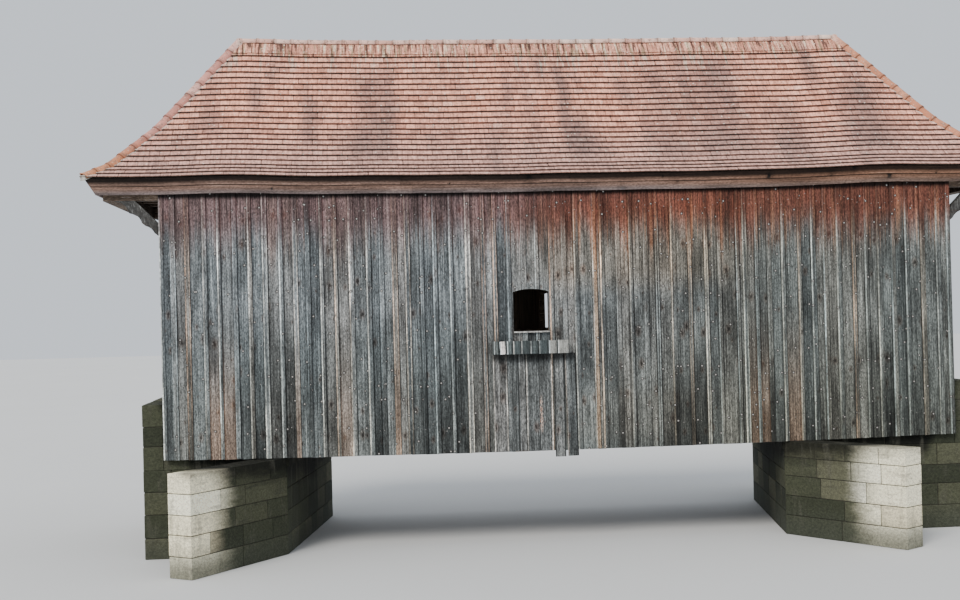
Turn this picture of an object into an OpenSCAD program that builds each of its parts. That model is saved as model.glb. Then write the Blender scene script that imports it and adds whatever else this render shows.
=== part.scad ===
// Small boarded covered bridge on two masonry abutments.
// X runs along the bridge, Y across it (the seen side faces -Y), Z up from the water.
// Lengths are in millimetres, angles in degrees.

/* [Body] */
// Length of the boarded body
bridge_l = 13200; // [12000:100:15000]
// Width over the outer faces of the posts
frame_w = 4100; // [3700:50:4500]
// Number of bays between the posts of one side
bay_count = 5; // [4:1:6]
// Side of a square post
post_w = 180; // [160:10:220]

/* [Levels above the water] */
// Top of the masonry seats
seat_z = 1650; // [1500:10:1900]
// Bottom edge of the wall boards
boards_z = 1600; // [1450:10:1640]
// Underside of the wall plates
plate_z = 5790; // [5400:10:6200]

/* [Abutments] */
// Masonry in from the outer faces of the posts
masonry_in = 60; // [20:5:120]
// Front corner of the left abutment's river face, from the middle of the bridge
left_face_x = 4650; // [4400:10:4900]
// Front corner of the right abutment's river face, from the middle of the bridge
right_face_x = 3640; // [3300:10:4000]
// Skew of the banks to the bridge
bank_skew = 9; // [0:0.5:12]
// Height of the wing walls
wing_z = 1565; // [1400:5:1580]
// Length of a wing wall along its river face
wing_l = 2300; // [1500:50:2600]
// Thickness of a wing wall
wing_t = 450; // [350:10:600]
// Splay of the wing walls from the line of the bridge
wing_splay = 55; // [40:1:65]
// Thickness of the wall that rises behind the bridge end
backwall_t = 330; // [250:10:450]
// Gap between the bridge end and that wall
backwall_gap = 20; // [10:5:40]
// Depth of the stone course that caps the seats
capstone_h = 220; // [160:10:300]
// How far that course stands proud of the river face
capstone_out = 40; // [20:5:80]
// Top of the wall behind the bridge end below the deck
backwall_drop = 10; // [5:5:60]

/* [Floor] */
// Width of a bottom chord
chord_w = 240; // [200:10:280]
// Depth of a bottom chord
chord_h = 320; // [260:10:380]
// Depth of the bearing timbers under the chords
bearing_h = 150; // [120:10:200]
// Width of the bearing timbers
bearing_w = 250; // [200:10:300]
// Inner bearing timbers back from the river faces
bearing_in = 60; // [30:5:120]
// Middle of the outer bearing timbers in from the bridge ends
bearing_end_in = 300; // [200:10:400]
// Depth of the cross beams
beam_h = 160; // [140:10:200]
// Width of the cross beams
beam_w = 180; // [140:10:220]
// Number of cross beams in one bay
beams_per_bay = 3; // [2:1:4]
// Depth and width of the floor joists
joist_h = 140; // [120:10:180]
// Number of floor joists
joist_count = 5; // [4:1:7]
// Outer joists in from the inner faces of the posts
joist_in = 200; // [120:10:300]
// Thickness of the deck planks
plank_t = 80; // [60:5:100]
// Clearance between the floor's timbers and what they lie between
floor_gap = 10; // [5:1:20]

/* [Side frames] */
// Depth of the wall plates
plate_h = 180; // [160:10:220]
// Width of the wall plates
plate_w = 220; // [200:10:260]
// Thickness of the rails across the bridge
rail_w = 120; // [100:10:140]
// Depth of the rails
rail_h = 140; // [120:10:180]
// Underside of the upper rails above the window sill
upper_rail_rise = 760; // [740:10:900]
// Thickness of the struts across the bridge
strut_w = 160; // [120:10:170]
// Depth of the struts in the side frame
strut_h = 180; // [140:10:200]
// Width of the studs beside the windows
stud_w = 100; // [80:10:140]

/* [Boarding] */
// Thickness of the wall boards
board_t = 25; // [20:1:32]
// Thickness of the cover strips
strip_t = 22; // [16:1:28]
// Width of the cover strips
strip_w = 70; // [50:5:90]
// Number of cover strips on one side
strip_count = 60; // [40:1:80]
// Top of the boards below the top of the wall plates
boards_drop = 20; // [10:5:60]

/* [Windows] */
// Height of the window sill
sill_z = 3500; // [3400:1:3700]
// Clear width of a window
window_w = 590; // [500:1:700]
// Height of a window's straight jambs
window_h = 675; // [600:1:710]
// Rise of the arched head
window_rise = 44; // [20:1:60]
// Middle of the front window along the bridge
front_window_x = -595; // [-700:1:-450]
// Middle of the back window along the bridge
back_window_x = 485; // [300:1:600]
// Thickness of the sill board
sill_t = 22; // [16:1:30]
// How far the sill board stands out from the cover strips
sill_out = 28; // [15:1:40]

/* [Flower box] */
// Left edge of the flower box
box_x = -1251; // [-1350:1:-1150]
// Outer length of the flower box
box_l = 1245; // [1000:1:1400]
// Outer height of the flower box
box_h = 220; // [180:5:260]
// Outer depth of the flower box
box_d = 200; // [160:5:205]
// Wall thickness of the flower box
box_wall = 22; // [18:1:28]
// Top of the flower box below the window sill
box_drop = 127; // [100:1:180]
// Thickness of the apron boards under the box
apron_t = 25; // [18:1:30]

/* [Roof shape] */
// Tile edge out from the outer faces of the posts
eave_out = 280; // [260:10:320]
// Tile edge out from the ends of the boarding
end_out = 1155; // [1000:5:1300]
// Eave edge below the top of the tie beams
eave_drop = 30; // [0:5:60]
// Pitch of the main slope
main_pitch = 53; // [50:0.5:58]
// Pitch of the middle part of the bell-cast
mid_pitch = 45.5; // [42:0.5:48]
// Pitch at the eave
low_pitch = 30; // [27:0.5:33]
// Slope length of the part at the eave
low_run = 420; // [380:1:480]
// Slope length of the middle part
mid_run = 966; // [900:1:1050]

/* [Roof timbers] */
// Depth of the tie beams
tie_h = 180; // [160:10:220]
// Width of the tie beams
tie_w = 140; // [120:10:160]
// Ends of the tie beams in from the tile edge
tie_end = 245; // [235:5:260]
// Depth of the rafters
rafter_h = 140; // [120:5:160]
// Width of the rafters
rafter_w = 90; // [80:5:110]
// Rafter spaces in one bay
rafters_per_bay = 3; // [3:1:4]
// Distance between the rafters of a hipped end
end_rafter_gap = 650; // [550:10:680]
// Rafters of a hipped end on each side of its middle one
end_rafter_side = 2; // [1:1:2]
// Outermost pair of full rafters in from the end of the ridge
end_pair_in = 110; // [80:5:160]
// Width of the hip rafters
hip_w = 120; // [100:5:140]
// Depth of the hip rafters, measured plumb
hip_h = 230; // [180:5:260]
// Depth of the sprockets that carry the bell-cast
sprocket_h = 110; // [95:5:120]
// Underside of the collar beams above the tie beams
collar_rise = 1450; // [1300:10:1600]
// Depth of the collar beams
collar_h = 140; // [120:10:160]
// Thickness of the roof battens
batten_t = 30; // [24:1:36]
// Width of the roof battens
batten_w = 50; // [40:1:60]
// Middle of the top batten below the peak, along the slope
top_batten_in = 60; // [40:5:90]

/* [Eave boards] */
// Width of the tilted eave boards
fascia_w = 300; // [270:1:310]
// Thickness of the eave boards
fascia_t = 28; // [22:1:34]
// Eave boards in from the tile edge, along the slope
fascia_in = 40; // [30:1:60]
// Depth of the groove between the two boards
groove_d = 6; // [4:1:8]
// Width of that groove
groove_w = 8; // [6:1:12]

/* [Tiles] */
// Slope length that each tile course shows
gauge = 138; // [130:1:165]
// Thickness of the tile cover just above each butt
tile_base = 35; // [25:1:40]
// Height of the butt of a course
tile_butt = 20; // [14:1:24]
// Slope length of the wide course under the ridge
top_course = 307; // [280:1:340]
// Radius of the ridge tiles at their wide end
ridge_r = 70; // [60:1:80]
// Radius of the hip tiles at their wide end
hip_r = 96; // [85:1:110]
// How much each cap tile narrows
cap_taper = 12; // [8:1:16]
// Length that each cap tile shows
cap_gauge = 300; // [260:1:360]
// Axis of the ridge tiles above the batten line's peak
ridge_lift = 28; // [20:1:40]

/* [Braces] */
// Reach of an eave brace out from the end post, along the plate
brace_out = 705; // [650:5:800]
// Drop of an eave brace down the end post
brace_down = 584; // [450:1:650]
// Length of the brace's seat under the plate
brace_seat = 331; // [260:1:400]
// Height of the brace's seat on the post
brace_foot = 206; // [160:1:260]
// Thickness of the eave braces
brace_t = 140; // [100:5:160]
// Depth of the deepest of the coves cut in its lower edge
cove_d = 50; // [30:1:60]
// Leg length of the knee braces in the cross frames
knee_leg = 620; // [500:10:700]
// Depth of the knee braces
knee_h = 130; // [100:5:160]
// Width of the knee braces
knee_w = 110; // [90:5:130]

/* [Hidden] */
$fn = 48;
root2 = sqrt(2);
window_fn = 200;          // facets of a full circle of a window head's radius
seam = 1;                 // gap left where two timbers of one node would touch
overlap = 1;              // how far solids that are joined run into each other
spare = 100;              // length drawn on past a cut
far = 20000;              // length longer than anything in the bridge
butt_lean = 0.01;         // lean of a tile course's butt along the slope
batten_gap = 2;           // lowest batten up from the eave boards
batten_hip_gap = 6;       // ends of the battens back from the hip lines
cap_proud = 2;            // hip caps' feet out past the tile edges
fascia_gap = 2;           // eave boards' upper edge below the batten line
apron_gap = 4;            // apron boards below the flower box
sill_gap = 2;             // ends of a sill board in from the window's jambs
strutless = 0.9;          // bays nearer to the middle than this many bays have no strut

// Side frames
frame_half_w = frame_w / 2;
abutment_half_w = frame_half_w - masonry_in;
bank_shift = 2 * abutment_half_w * tan(bank_skew);
half_l = bridge_l / 2;
bay = (bridge_l - post_w) / bay_count;
post_xs = [for (i = [0:bay_count]) -half_l + post_w / 2 + i * bay];
portal_x = half_l - post_w / 2;
chord_z = seat_z + bearing_h;
chord_top = chord_z + chord_h;
beam_top = chord_top + beam_h;
joist_top = beam_top + joist_h;
deck_z = joist_top + plank_t;
plate_top = plate_z + plate_h;
tie_top = plate_top + tie_h;
window_bay = floor(bay_count / 2);
upper_rail_z = sill_z + upper_rail_rise;
boards_top = plate_top - boards_drop;
strip_face = frame_half_w + board_t + strip_t;

// Roof section, as [distance in from the tile edge, height]
half_eave = frame_half_w + eave_out;
half_end = half_l + end_out;
ridge_half = half_end - half_eave;
eave_z = tie_top - eave_drop;
function along(p) = [cos(p), sin(p)];
function out_of(p) = [-sin(p), cos(p)];
eave_pt = [0, eave_z];
low_kink = eave_pt + low_run * along(low_pitch);
mid_kink = low_kink + mid_run * along(mid_pitch);
peak_z = mid_kink[1] + (half_eave - mid_kink[0]) * tan(main_pitch);
peak_pt = [half_eave, peak_z];
slope_l = low_run + mid_run + (half_eave - mid_kink[0]) / cos(main_pitch);

// A kink of the batten line, moved out of the slope by o
function kink(p, lower, upper, o) =
    p + o / cos((upper - lower) / 2) * out_of((lower + upper) / 2);
// The batten line moved out of the slope by o, starting s up from the tile edge
function roof_line(o, s = 0) = [
    eave_pt + s * along(low_pitch) + o * out_of(low_pitch),
    kink(low_kink, low_pitch, mid_pitch, o),
    kink(mid_kink, mid_pitch, main_pitch, o),
    [half_eave, peak_z + o / cos(main_pitch)]
];
// The point and the pitch at s up the slope
function slope_pt(s) =
    s < low_run ? eave_pt + s * along(low_pitch)
    : s < low_run + mid_run ? low_kink + (s - low_run) * along(mid_pitch)
    : mid_kink + (s - low_run - mid_run) * along(main_pitch);
function slope_pitch(s) =
    s < low_run ? low_pitch : s < low_run + mid_run ? mid_pitch : main_pitch;
// The main slope's line carried on down: its height at d, and its d at a height
function main_z(o, d) = mid_kink[1] + o * cos(main_pitch)
    + (d - mid_kink[0] + o * sin(main_pitch)) * tan(main_pitch);
function main_d(o, z) = mid_kink[0] - o * sin(main_pitch)
    + (z - mid_kink[1] - o * cos(main_pitch)) / tan(main_pitch);

// Rafter places along the bridge
rafter_step = bay / rafters_per_bay;
end_pair_x = ridge_half - end_pair_in;
plate_in = eave_out + plate_w;
outer_tie_x = (portal_x + half_end - plate_in) / 2;
common_xs = concat(
    [for (i = [0:bay_count * rafters_per_bay])
        let (x = -portal_x + i * rafter_step)
        if (abs(x) < end_pair_x - rafter_step / 2) x],
    [-end_pair_x, end_pair_x]
);
jack_xs = [(end_pair_x + portal_x) / 2, portal_x, outer_tie_x];
end_ys = [for (i = [-end_rafter_side:end_rafter_side]) i * end_rafter_gap];
tile_top = tile_base + tile_butt;
course_count = floor((slope_l - top_course) / gauge);
courses = concat([for (k = [0:course_count]) k * gauge], [slope_l - top_course]);

// Helpers

// A box from its lowest corner and its sizes
module box(low, size) translate(low) cube(size);

// A plan or section drawn as [along the bridge, height], made t thick from y
module elevation(y, t) translate([0, y + t, 0]) rotate([90, 0, 0]) linear_extrude(t) children();

// A section drawn as [in from the tile edge, height], w long, with its middle at x on the front side
module front_section(x, w)
    translate([x - w / 2, -half_eave, 0]) rotate([90, 0, 90]) linear_extrude(w) children();

// The same on the hipped end at the right, with its middle at y
module end_section(y, w)
    translate([ridge_half, 0, 0]) rotate([0, 0, 90]) front_section(y, w) children();

module back_copy() mirror([0, 1, 0]) children();
module left_copy() mirror([1, 0, 0]) children();
module both_ends() { children(); left_copy() children(); }
module both_sides() { children(); back_copy() children(); }

// The part of the plan that belongs to the front slope, held back from the hip lines by g
module front_plan(g = 0)
    linear_extrude(far) polygon([
        [-half_end - spare + g, -half_eave - spare], [half_end + spare - g, -half_eave - spare],
        [ridge_half - g, 0], [-ridge_half + g, 0]
    ]);

// The part of the plan that belongs to the right-hand hipped end
module end_plan(g = 0)
    linear_extrude(far) polygon([
        [half_end + spare, -half_eave - spare + g], [half_end + spare, half_eave + spare - g],
        [ridge_half + g, 0]
    ]);

// Everything under the batten line moved out by o, as a section that is half wide on each side
module under_section(o, half) {
    line = roof_line(o);
    rise = concat([[line[0][0], 0]], line);
    polygon(concat(rise, [for (i = [len(rise) - 1:-1:0]) [2 * half - rise[i][0], rise[i][1]]]));
}
// The same as a solid, under all four slopes
module under_roof(o) intersection() {
    front_section(0, 2 * (half_end + spare)) under_section(o, half_eave);
    end_section(0, 2 * (half_eave + spare)) under_section(o, half_end);
}

// Abutments

// A wing wall's plan, running out from the front corner of a river face
module wing_plan(corner) {
    run = wing_l * [cos(wing_splay), -sin(wing_splay)];
    inland = wing_t * [sin(wing_splay), cos(wing_splay)];
    polygon([corner, corner + run, corner + run + inland, corner + inland]);
}
// The plan of a seat, from its river face to the bridge's end wall
module seat_plan(front_x, back_x, out) polygon([
    [front_x - out, -abutment_half_w], [back_x - out, abutment_half_w],
    [half_l + backwall_gap + backwall_t, abutment_half_w],
    [half_l + backwall_gap + backwall_t, -abutment_half_w]
]);
// The right-hand abutment, with its river face running from front_x to back_x
module abutment(front_x, back_x) color("tan") {
    linear_extrude(seat_z - capstone_h) seat_plan(front_x, back_x, 0);
    translate([0, 0, seat_z - capstone_h - overlap])
        linear_extrude(capstone_h + overlap) seat_plan(front_x, back_x, capstone_out);
    box([half_l + backwall_gap, -abutment_half_w, seat_z - overlap],
        [backwall_t, 2 * abutment_half_w, deck_z - backwall_drop - seat_z + overlap]);
    linear_extrude(wing_z) wing_plan([front_x, -abutment_half_w]);
    back_copy() linear_extrude(wing_z) wing_plan([back_x, -abutment_half_w]);
}
module left_abutment() left_copy() abutment(left_face_x, left_face_x - bank_shift);
module right_abutment() abutment(right_face_x, right_face_x + bank_shift);

module bearing_timbers() color("saddlebrown") {
    length = 2 * (abutment_half_w - floor_gap);
    back_from_face = bearing_in + bearing_w / 2;
    for (x = [-half_l + bearing_end_in, -left_face_x - back_from_face,
            right_face_x + bank_shift + back_from_face, half_l - bearing_end_in])
        box([x - bearing_w / 2, -length / 2, seat_z], [bearing_w, length, bearing_h]);
}

// Floor

module front_chord() color("saddlebrown")
    box([-half_l, -frame_half_w, chord_z], [bridge_l, chord_w, chord_h]);
module back_chord() back_copy() front_chord();

module floor_beams() color("saddlebrown") {
    reach = frame_half_w - strut_w - floor_gap;
    for (i = [0:bay_count * beams_per_bay - 1]) {
        x = -portal_x + (i + 0.5) * bay / beams_per_bay;
        box([x - beam_w / 2, -reach, chord_top], [beam_w, 2 * reach, beam_h]);
    }
}

module floor_joists() color("saddlebrown") {
    span = frame_w - 2 * (post_w + joist_in);
    for (i = [0:joist_count - 1]) {
        y = -span / 2 + i * span / (joist_count - 1);
        box([-half_l, y - joist_h / 2, beam_top], [bridge_l, joist_h, joist_h]);
    }
}

module deck() color("peru") {
    reach = frame_half_w - post_w - floor_gap;
    box([-half_l, -reach, joist_top], [bridge_l, 2 * reach, plank_t]);
}

// Side frames

module front_posts() color("saddlebrown")
    for (x = post_xs)
        box([x - post_w / 2, -frame_half_w, chord_top], [post_w, post_w, plate_z - chord_top]);
module back_posts() back_copy() front_posts();

// The free rectangle of bay i, between its posts, as seen from the side
module bay_window(i)
    translate([post_xs[i] + post_w / 2, chord_top]) square([bay - post_w, plate_z - chord_top]);

// The strut of bay i, leaning in towards the middle of the bridge
module strut(i, extra = 0) {
    w = bay - post_w;
    h = plate_z - chord_top;
    turn = i < bay_count / 2 ? atan2(h, w) : -atan2(h, w);
    intersection() {
        bay_window(i);
        translate([post_xs[i] + bay / 2, chord_top + h / 2]) rotate(turn)
            square([2 * h, strut_h + 2 * extra], center = true);
    }
}
strut_bays = [for (i = [0:bay_count - 1]) if (abs(i + 0.5 - bay_count / 2) > strutless) i];
module struts_2d(extra = 0) for (i = strut_bays) strut(i, extra);

module front_struts() color("saddlebrown")
    for (i = strut_bays) elevation(-frame_half_w, strut_w) strut(i);
module back_struts() back_copy() front_struts();

// Rails and window studs of one side, with the window's middle at x
module side_rails(x) {
    color("saddlebrown") difference() {
        for (i = [0:bay_count - 1]) {
            left = post_xs[i] + post_w / 2;
            for (z = [sill_z - rail_h, upper_rail_z])
                box([left, -frame_half_w, z], [bay - post_w, rail_w, rail_h]);
        }
        elevation(-frame_half_w - overlap, rail_w + 2 * overlap) struts_2d(seam);
    }
    color("saddlebrown") for (side = [-1, 1]) {
        edge = x + side * (window_w + stud_w) / 2;
        box([edge - stud_w / 2, -frame_half_w, sill_z], [stud_w, rail_w, upper_rail_rise]);
    }
}
module front_rails() side_rails(front_window_x);
module back_rails() back_copy() side_rails(back_window_x);

module front_plate() color("saddlebrown")
    box([-half_end + eave_out, -frame_half_w, plate_z],
        [2 * (half_end - eave_out), plate_w, plate_h]);
module back_plate() back_copy() front_plate();

module end_plates() color("saddlebrown") {
    reach = frame_half_w - plate_w;
    both_ends() box([half_end - plate_in, -reach, plate_z], [plate_w, 2 * reach, plate_h]);
}

// Eave braces and knee braces

// Right-hand eave brace from the side: a straight upper edge and three coves below,
// each [middle along the edge, half its length], as shares of the edge, and its depth as a share of cove_d
coves = [[0.17, 0.17, 1], [0.48, 0.14, 0.85], [0.8, 0.1, 0.4]];
module eave_brace_2d() {
    tip = [half_l + brace_out, plate_z];
    heel = [half_l, plate_z - brace_down];
    edge = heel - tip;
    outward = [-edge[1], edge[0]] / norm(edge);
    difference() {
        polygon([tip, [tip[0] - brace_seat, plate_z], heel + [0, brace_foot], heel]);
        for (c = coves) {
            half_chord = c[1] * norm(edge);
            depth = c[2] * cove_d;
            r = (half_chord * half_chord + depth * depth) / (2 * depth);
            translate(tip + c[0] * edge + (r - depth) * outward) circle(r);
        }
    }
}
module right_eave_braces() color("saddlebrown")
    both_sides() elevation(-frame_half_w, brace_t) eave_brace_2d();
module left_eave_braces() left_copy() right_eave_braces();

module knee_braces() color("saddlebrown") {
    inner = frame_half_w - post_w;
    for (x = post_xs)
        both_sides() translate([x - knee_w / 2, 0, 0]) rotate([90, 0, 90]) linear_extrude(knee_w)
            polygon([
                [-inner, plate_top - knee_leg], [-inner, plate_top - knee_leg + knee_h * root2],
                [-inner + knee_leg - knee_h * root2, plate_top], [-inner + knee_leg, plate_top]
            ]);
}

// Roof timbers

module tie_beams() color("saddlebrown") {
    reach = half_eave - tie_end;
    for (x = common_xs) tie_beam(x, reach);
    both_ends() for (x = jack_xs) tie_beam(x, reach);
}
module tie_beam(x, reach) box([x - tie_w / 2, -reach, plate_top], [tie_w, 2 * reach, tie_h]);

module stub_beams() color("saddlebrown")
    both_ends() for (y = end_ys) {
        from = outer_tie_x + tie_w / 2;
        box([from, y - tie_w / 2, plate_top], [half_end - tie_end - from, tie_w, tie_h]);
    }

// Section of a rafter, standing on a tie beam and cut plumb at the ridge
module rafter_2d() {
    end_d = half_eave - seam / 2;
    top = -batten_t;
    low = -batten_t - rafter_h;
    polygon([
        [main_d(top, tie_top), tie_top], [end_d, main_z(top, end_d)],
        [end_d, main_z(low, end_d)], [main_d(low, tie_top), tie_top]
    ]);
}

hip_gap = (hip_w / 2 + seam) * root2;
module front_rafters() color("saddlebrown") {
    for (x = common_xs) front_section(x, rafter_w) rafter_2d();
    both_ends() for (x = jack_xs) intersection() {
        front_section(x, rafter_w) rafter_2d();
        front_plan(hip_gap);
    }
}
module back_rafters() back_copy() front_rafters();

module end_rafters() color("saddlebrown")
    both_ends() for (y = end_ys) intersection() {
        end_section(y, rafter_w) rafter_2d();
        if (y == 0) box([ridge_half, -far, 0], [far, 2 * far, far]);
        else end_plan(hip_gap);
    }

// Section of the space under the main slopes, carried straight on down to the plates
module under_main_2d(o) polygon([
    [main_d(o, plate_top), plate_top], [half_eave, main_z(o, half_eave)],
    [2 * half_eave - main_d(o, plate_top), plate_top]
]);
// The same space under all four main slopes at the right-hand end
module under_main(o) intersection() {
    front_section(0, 2 * half_end) under_main_2d(o);
    translate([ridge_half, 0, 0]) rotate([0, 0, 90])
        front_section(0, 2 * half_end) polygon([
            [main_d(o, plate_top), plate_top], [half_eave, main_z(o, half_eave)],
            [half_eave + far, main_z(o, half_eave)], [half_eave + far, plate_top]
        ]);
}
// A plumb slab over the front right hip line
module hip_slab() translate([ridge_half, 0, 0]) rotate([0, 0, -45])
    box([0, -hip_w / 2, 0], [far, hip_w, far]);

module hip_rafter() intersection() {
    difference() {
        intersection() { hip_slab(); under_main(-batten_t); }
        translate([0, 0, -hip_h]) intersection() { hip_slab(); under_main(-batten_t); }
    }
    box([-far, -far, plate_top], [2 * far, far - rafter_w / 2 - seam, far]);
}
module hip_rafters() color("saddlebrown") both_ends() both_sides() hip_rafter();

module collar_beams() color("saddlebrown") {
    low = tie_top + collar_rise;
    inner = -batten_t - rafter_h;
    half_low = half_eave - main_d(inner, low);
    half_high = half_eave - main_d(inner, low + collar_h);
    for (x = common_xs)
        translate([x - rafter_w / 2, 0, 0]) rotate([90, 0, 90]) linear_extrude(rafter_w)
            polygon([[-half_low, low], [half_low, low],
                [half_high, low + collar_h], [-half_high, low + collar_h]]);
}

// Section of a sprocket: it rests on the tie beam's end and dies into the rafter's back
sprocket_s = fascia_in + fascia_t;
module sprocket_2d() difference() {
    top = roof_line(-batten_t, sprocket_s);
    low = roof_line(-batten_t - sprocket_h, sprocket_s);
    polygon([top[0], top[1], top[2], low[2], low[1], low[0]]);
    polygon([[main_d(-batten_t, 0), 0], [half_eave, main_z(-batten_t, half_eave)], [half_eave, 0]]);
    translate([tie_end - seam, 0]) square([far, tie_top]);
}
module sprocket(x) front_section(x, rafter_w) sprocket_2d();

module sprockets() color("saddlebrown") {
    both_sides() {
        for (x = common_xs) sprocket(x);
        both_ends() for (x = jack_xs) intersection() { sprocket(x); front_plan(hip_gap); }
    }
    both_ends() for (y = end_ys) intersection() {
        end_section(y, rafter_w) sprocket_2d();
        end_plan(hip_gap);
    }
}

// Battens: one under each course, on all four slopes, the lowest just behind the eave boards
batten_up = sprocket_s + batten_gap + batten_w / 2;
module battens_2d() for (s = concat([for (k = [0:course_count - 1]) k * gauge + batten_up],
        [slope_l - top_course + batten_up, slope_l - top_batten_in])) {
    p = slope_pt(s);
    t = slope_pitch(s);
    half = batten_w / 2 * along(t);
    down = batten_t * out_of(t);
    polygon([p - half, p + half, p + half - down, p - half - down]);
}
module roof_battens() color("saddlebrown") {
    both_sides() intersection() {
        front_section(0, 2 * half_end) battens_2d();
        difference() { front_plan(batten_hip_gap); box([-far, -seam / 2, 0], [2 * far, far, far]); }
    }
    both_ends() intersection() {
        end_section(0, 2 * half_eave) battens_2d();
        end_plan(batten_hip_gap);
    }
}

// Tiles: a sheet with one step per course, over the batten line
function course_edge(k) =
    let (s = courses[k], next = k + 1 < len(courses) ? courses[k + 1] - butt_lean : slope_l)
    [slope_pt(s) + tile_top * out_of(slope_pitch(s)),
     slope_pt(next) + tile_base * out_of(slope_pitch(next))];
module tiles_2d() {
    steps = [for (k = [0:len(courses) - 1]) each course_edge(k)];
    beyond = spare * along(main_pitch);
    polygon(concat(steps,
        [steps[len(steps) - 1] + beyond, peak_pt + beyond, mid_kink, low_kink, eave_pt]));
}
module front_tiles() color("rosybrown") intersection() {
    front_section(0, 2 * (half_end + spare)) tiles_2d();
    front_plan();
}
module back_tiles() back_copy() front_tiles();
module right_tiles() color("rosybrown") intersection() {
    end_section(0, 2 * (half_eave + spare)) tiles_2d();
    end_plan();
}
module left_tiles() left_copy() right_tiles();

// A run of cap tiles along +Z, each narrowing towards the top end, r wide at its foot
module cap_run(length, r) {
    count = max(1, round(length / cap_gauge));
    step = length / count;
    rotate_extrude() polygon(concat(
        [[0, 0]],
        [for (i = [0:count - 1]) each [[r, i * step], [r - cap_taper, (i + 1) * step]]],
        [[0, length]]
    ));
}
// The same run from point p to point q
module cap_run_between(p, q, r) {
    v = q - p;
    translate(p) rotate([0, acos(v[2] / norm(v)), atan2(v[1], v[0])]) cap_run(norm(v), r);
}
module ridge_caps() color("rosybrown") difference() {
    cap_run_between([-ridge_half, 0, peak_z + ridge_lift], [ridge_half, 0, peak_z + ridge_lift], ridge_r);
    under_roof(tile_top);
}
// Points of the front right hip line, from the corner up
function hip_pt(p) = [half_end - p[0], -half_eave + p[0], p[1]];
line_pts = [eave_pt, low_kink, mid_kink, peak_pt];
pitches = [low_pitch, mid_pitch, main_pitch];
// Everything under the tiles of part i of a slope, carried on up and down
module under_part_2d(i) {
    p = line_pts[i] + tile_top * out_of(pitches[i]);
    run = along(pitches[i]) * half_end;
    polygon([p - run, p + run, p + run - [0, far], p - run - [0, far]]);
}
// The stretch of the front right hip over part i, between plumb cuts
module hip_stretch(i) {
    from = line_pts[i][0] * root2;
    to = line_pts[i + 1][0] * root2;
    translate([half_end, -half_eave, 0]) rotate([0, 0, 135])
        box([from + seam / 2, -far, 0], [to - from - seam, 2 * far, far]);
}
module hip_cap() for (i = [0:len(pitches) - 1]) difference() {
    intersection() {
        cap_run_between(hip_pt(line_pts[i]), hip_pt(line_pts[i + 1]), hip_r);
        hip_stretch(i);
        box([ridge_half, -half_eave - cap_proud, 0],
            [half_eave + cap_proud, half_eave + cap_proud - seam, far]);
    }
    intersection() {
        front_section(0, far) under_part_2d(i);
        end_section(0, far) under_part_2d(i);
    }
}
module hip_caps() color("rosybrown") both_ends() both_sides() hip_cap();

// Eave boards: tilted square to the eave, with a groove where two boards meet
module fascia_2d() {
    outer = slope_pt(fascia_in);
    run = along(low_pitch);
    down = -out_of(low_pitch);
    groove_top = outer + (fascia_w - groove_w) / 2 * down;
    groove_low = groove_top + groove_w * down;
    difference() {
        polygon([outer + fascia_gap * down, outer + fascia_gap * down + fascia_t * run,
            outer + fascia_w * down + fascia_t * run, outer + fascia_w * down]);
        polygon([groove_top - overlap * run, groove_top + groove_d * run,
            groove_low + groove_d * run, groove_low - overlap * run]);
    }
}
module front_fascia() color("sienna") intersection() {
    front_section(0, 2 * half_end) fascia_2d();
    front_plan();
}
module back_fascia() back_copy() front_fascia();
module end_fascias() color("sienna") both_ends() intersection() {
    end_section(0, 2 * half_eave) fascia_2d();
    end_plan();
}

// Boarding

// The hole of a window with its middle at x: straight jambs and a shallow arched head
module window_2d(x) {
    head_r = (pow(window_w / 2, 2) + pow(window_rise, 2)) / (2 * window_rise);
    intersection() {
        translate([x - window_w / 2, sill_z]) square([window_w, window_h + 2 * window_rise]);
        translate([x, sill_z + window_h + window_rise - head_r]) circle(head_r, $fn = window_fn);
    }
}
module side_boarding(x) color("gray") elevation(-frame_half_w - board_t, board_t) difference() {
    translate([-half_l, boards_z]) square([bridge_l, boards_top - boards_z]);
    window_2d(x);
}
module front_boarding() side_boarding(front_window_x);
module back_boarding() back_copy() side_boarding(back_window_x);

module side_strips(x) color("dimgray") elevation(-strip_face, strip_t) difference() {
    for (i = [0:strip_count - 1])
        translate([-half_l + i * (bridge_l - strip_w) / (strip_count - 1), boards_z])
            square([strip_w, boards_top - boards_z]);
    translate([x - window_w / 2, sill_z]) square([window_w, window_h + window_rise]);
}
module front_cover_strips() side_strips(front_window_x);
module back_cover_strips() back_copy() side_strips(back_window_x);

// Apron boards under the flower box, as [left, right, bottom] from the box's left edge and the wall's foot
box_top = sill_z - box_drop;
box_low = box_top - box_h;
apron_top = box_low - boards_z - apron_gap;
apron = [
    [0, 227, -40], [232, 417, -38], [422, 537, -42], [542, 757, -40], [762, 972, -44],
    [1005, 1175, -155], [1214, 1388, -148]
];
module apron_boards() color("dimgray")
    for (b = apron)
        box([box_x + b[0], -strip_face - apron_t, boards_z + b[2]], [b[1] - b[0], apron_t, apron_top - b[2]]);

module flower_box() color("gray") difference() {
    box([box_x, -strip_face - box_d, box_low], [box_l, box_d, box_h]);
    box([box_x + box_wall, -strip_face - box_d + box_wall, box_low + box_wall],
        [box_l - 2 * box_wall, box_d - 2 * box_wall, box_h]);
}

module side_sill(x) {
    color("lightgray")
        box([x - window_w / 2 + sill_gap, -strip_face - sill_out, sill_z],
            [window_w - 2 * sill_gap, strip_face + sill_out - frame_half_w + rail_w, sill_t]);
}
module window_sills() {
    side_sill(front_window_x);
    back_copy() side_sill(back_window_x);
}

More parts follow.
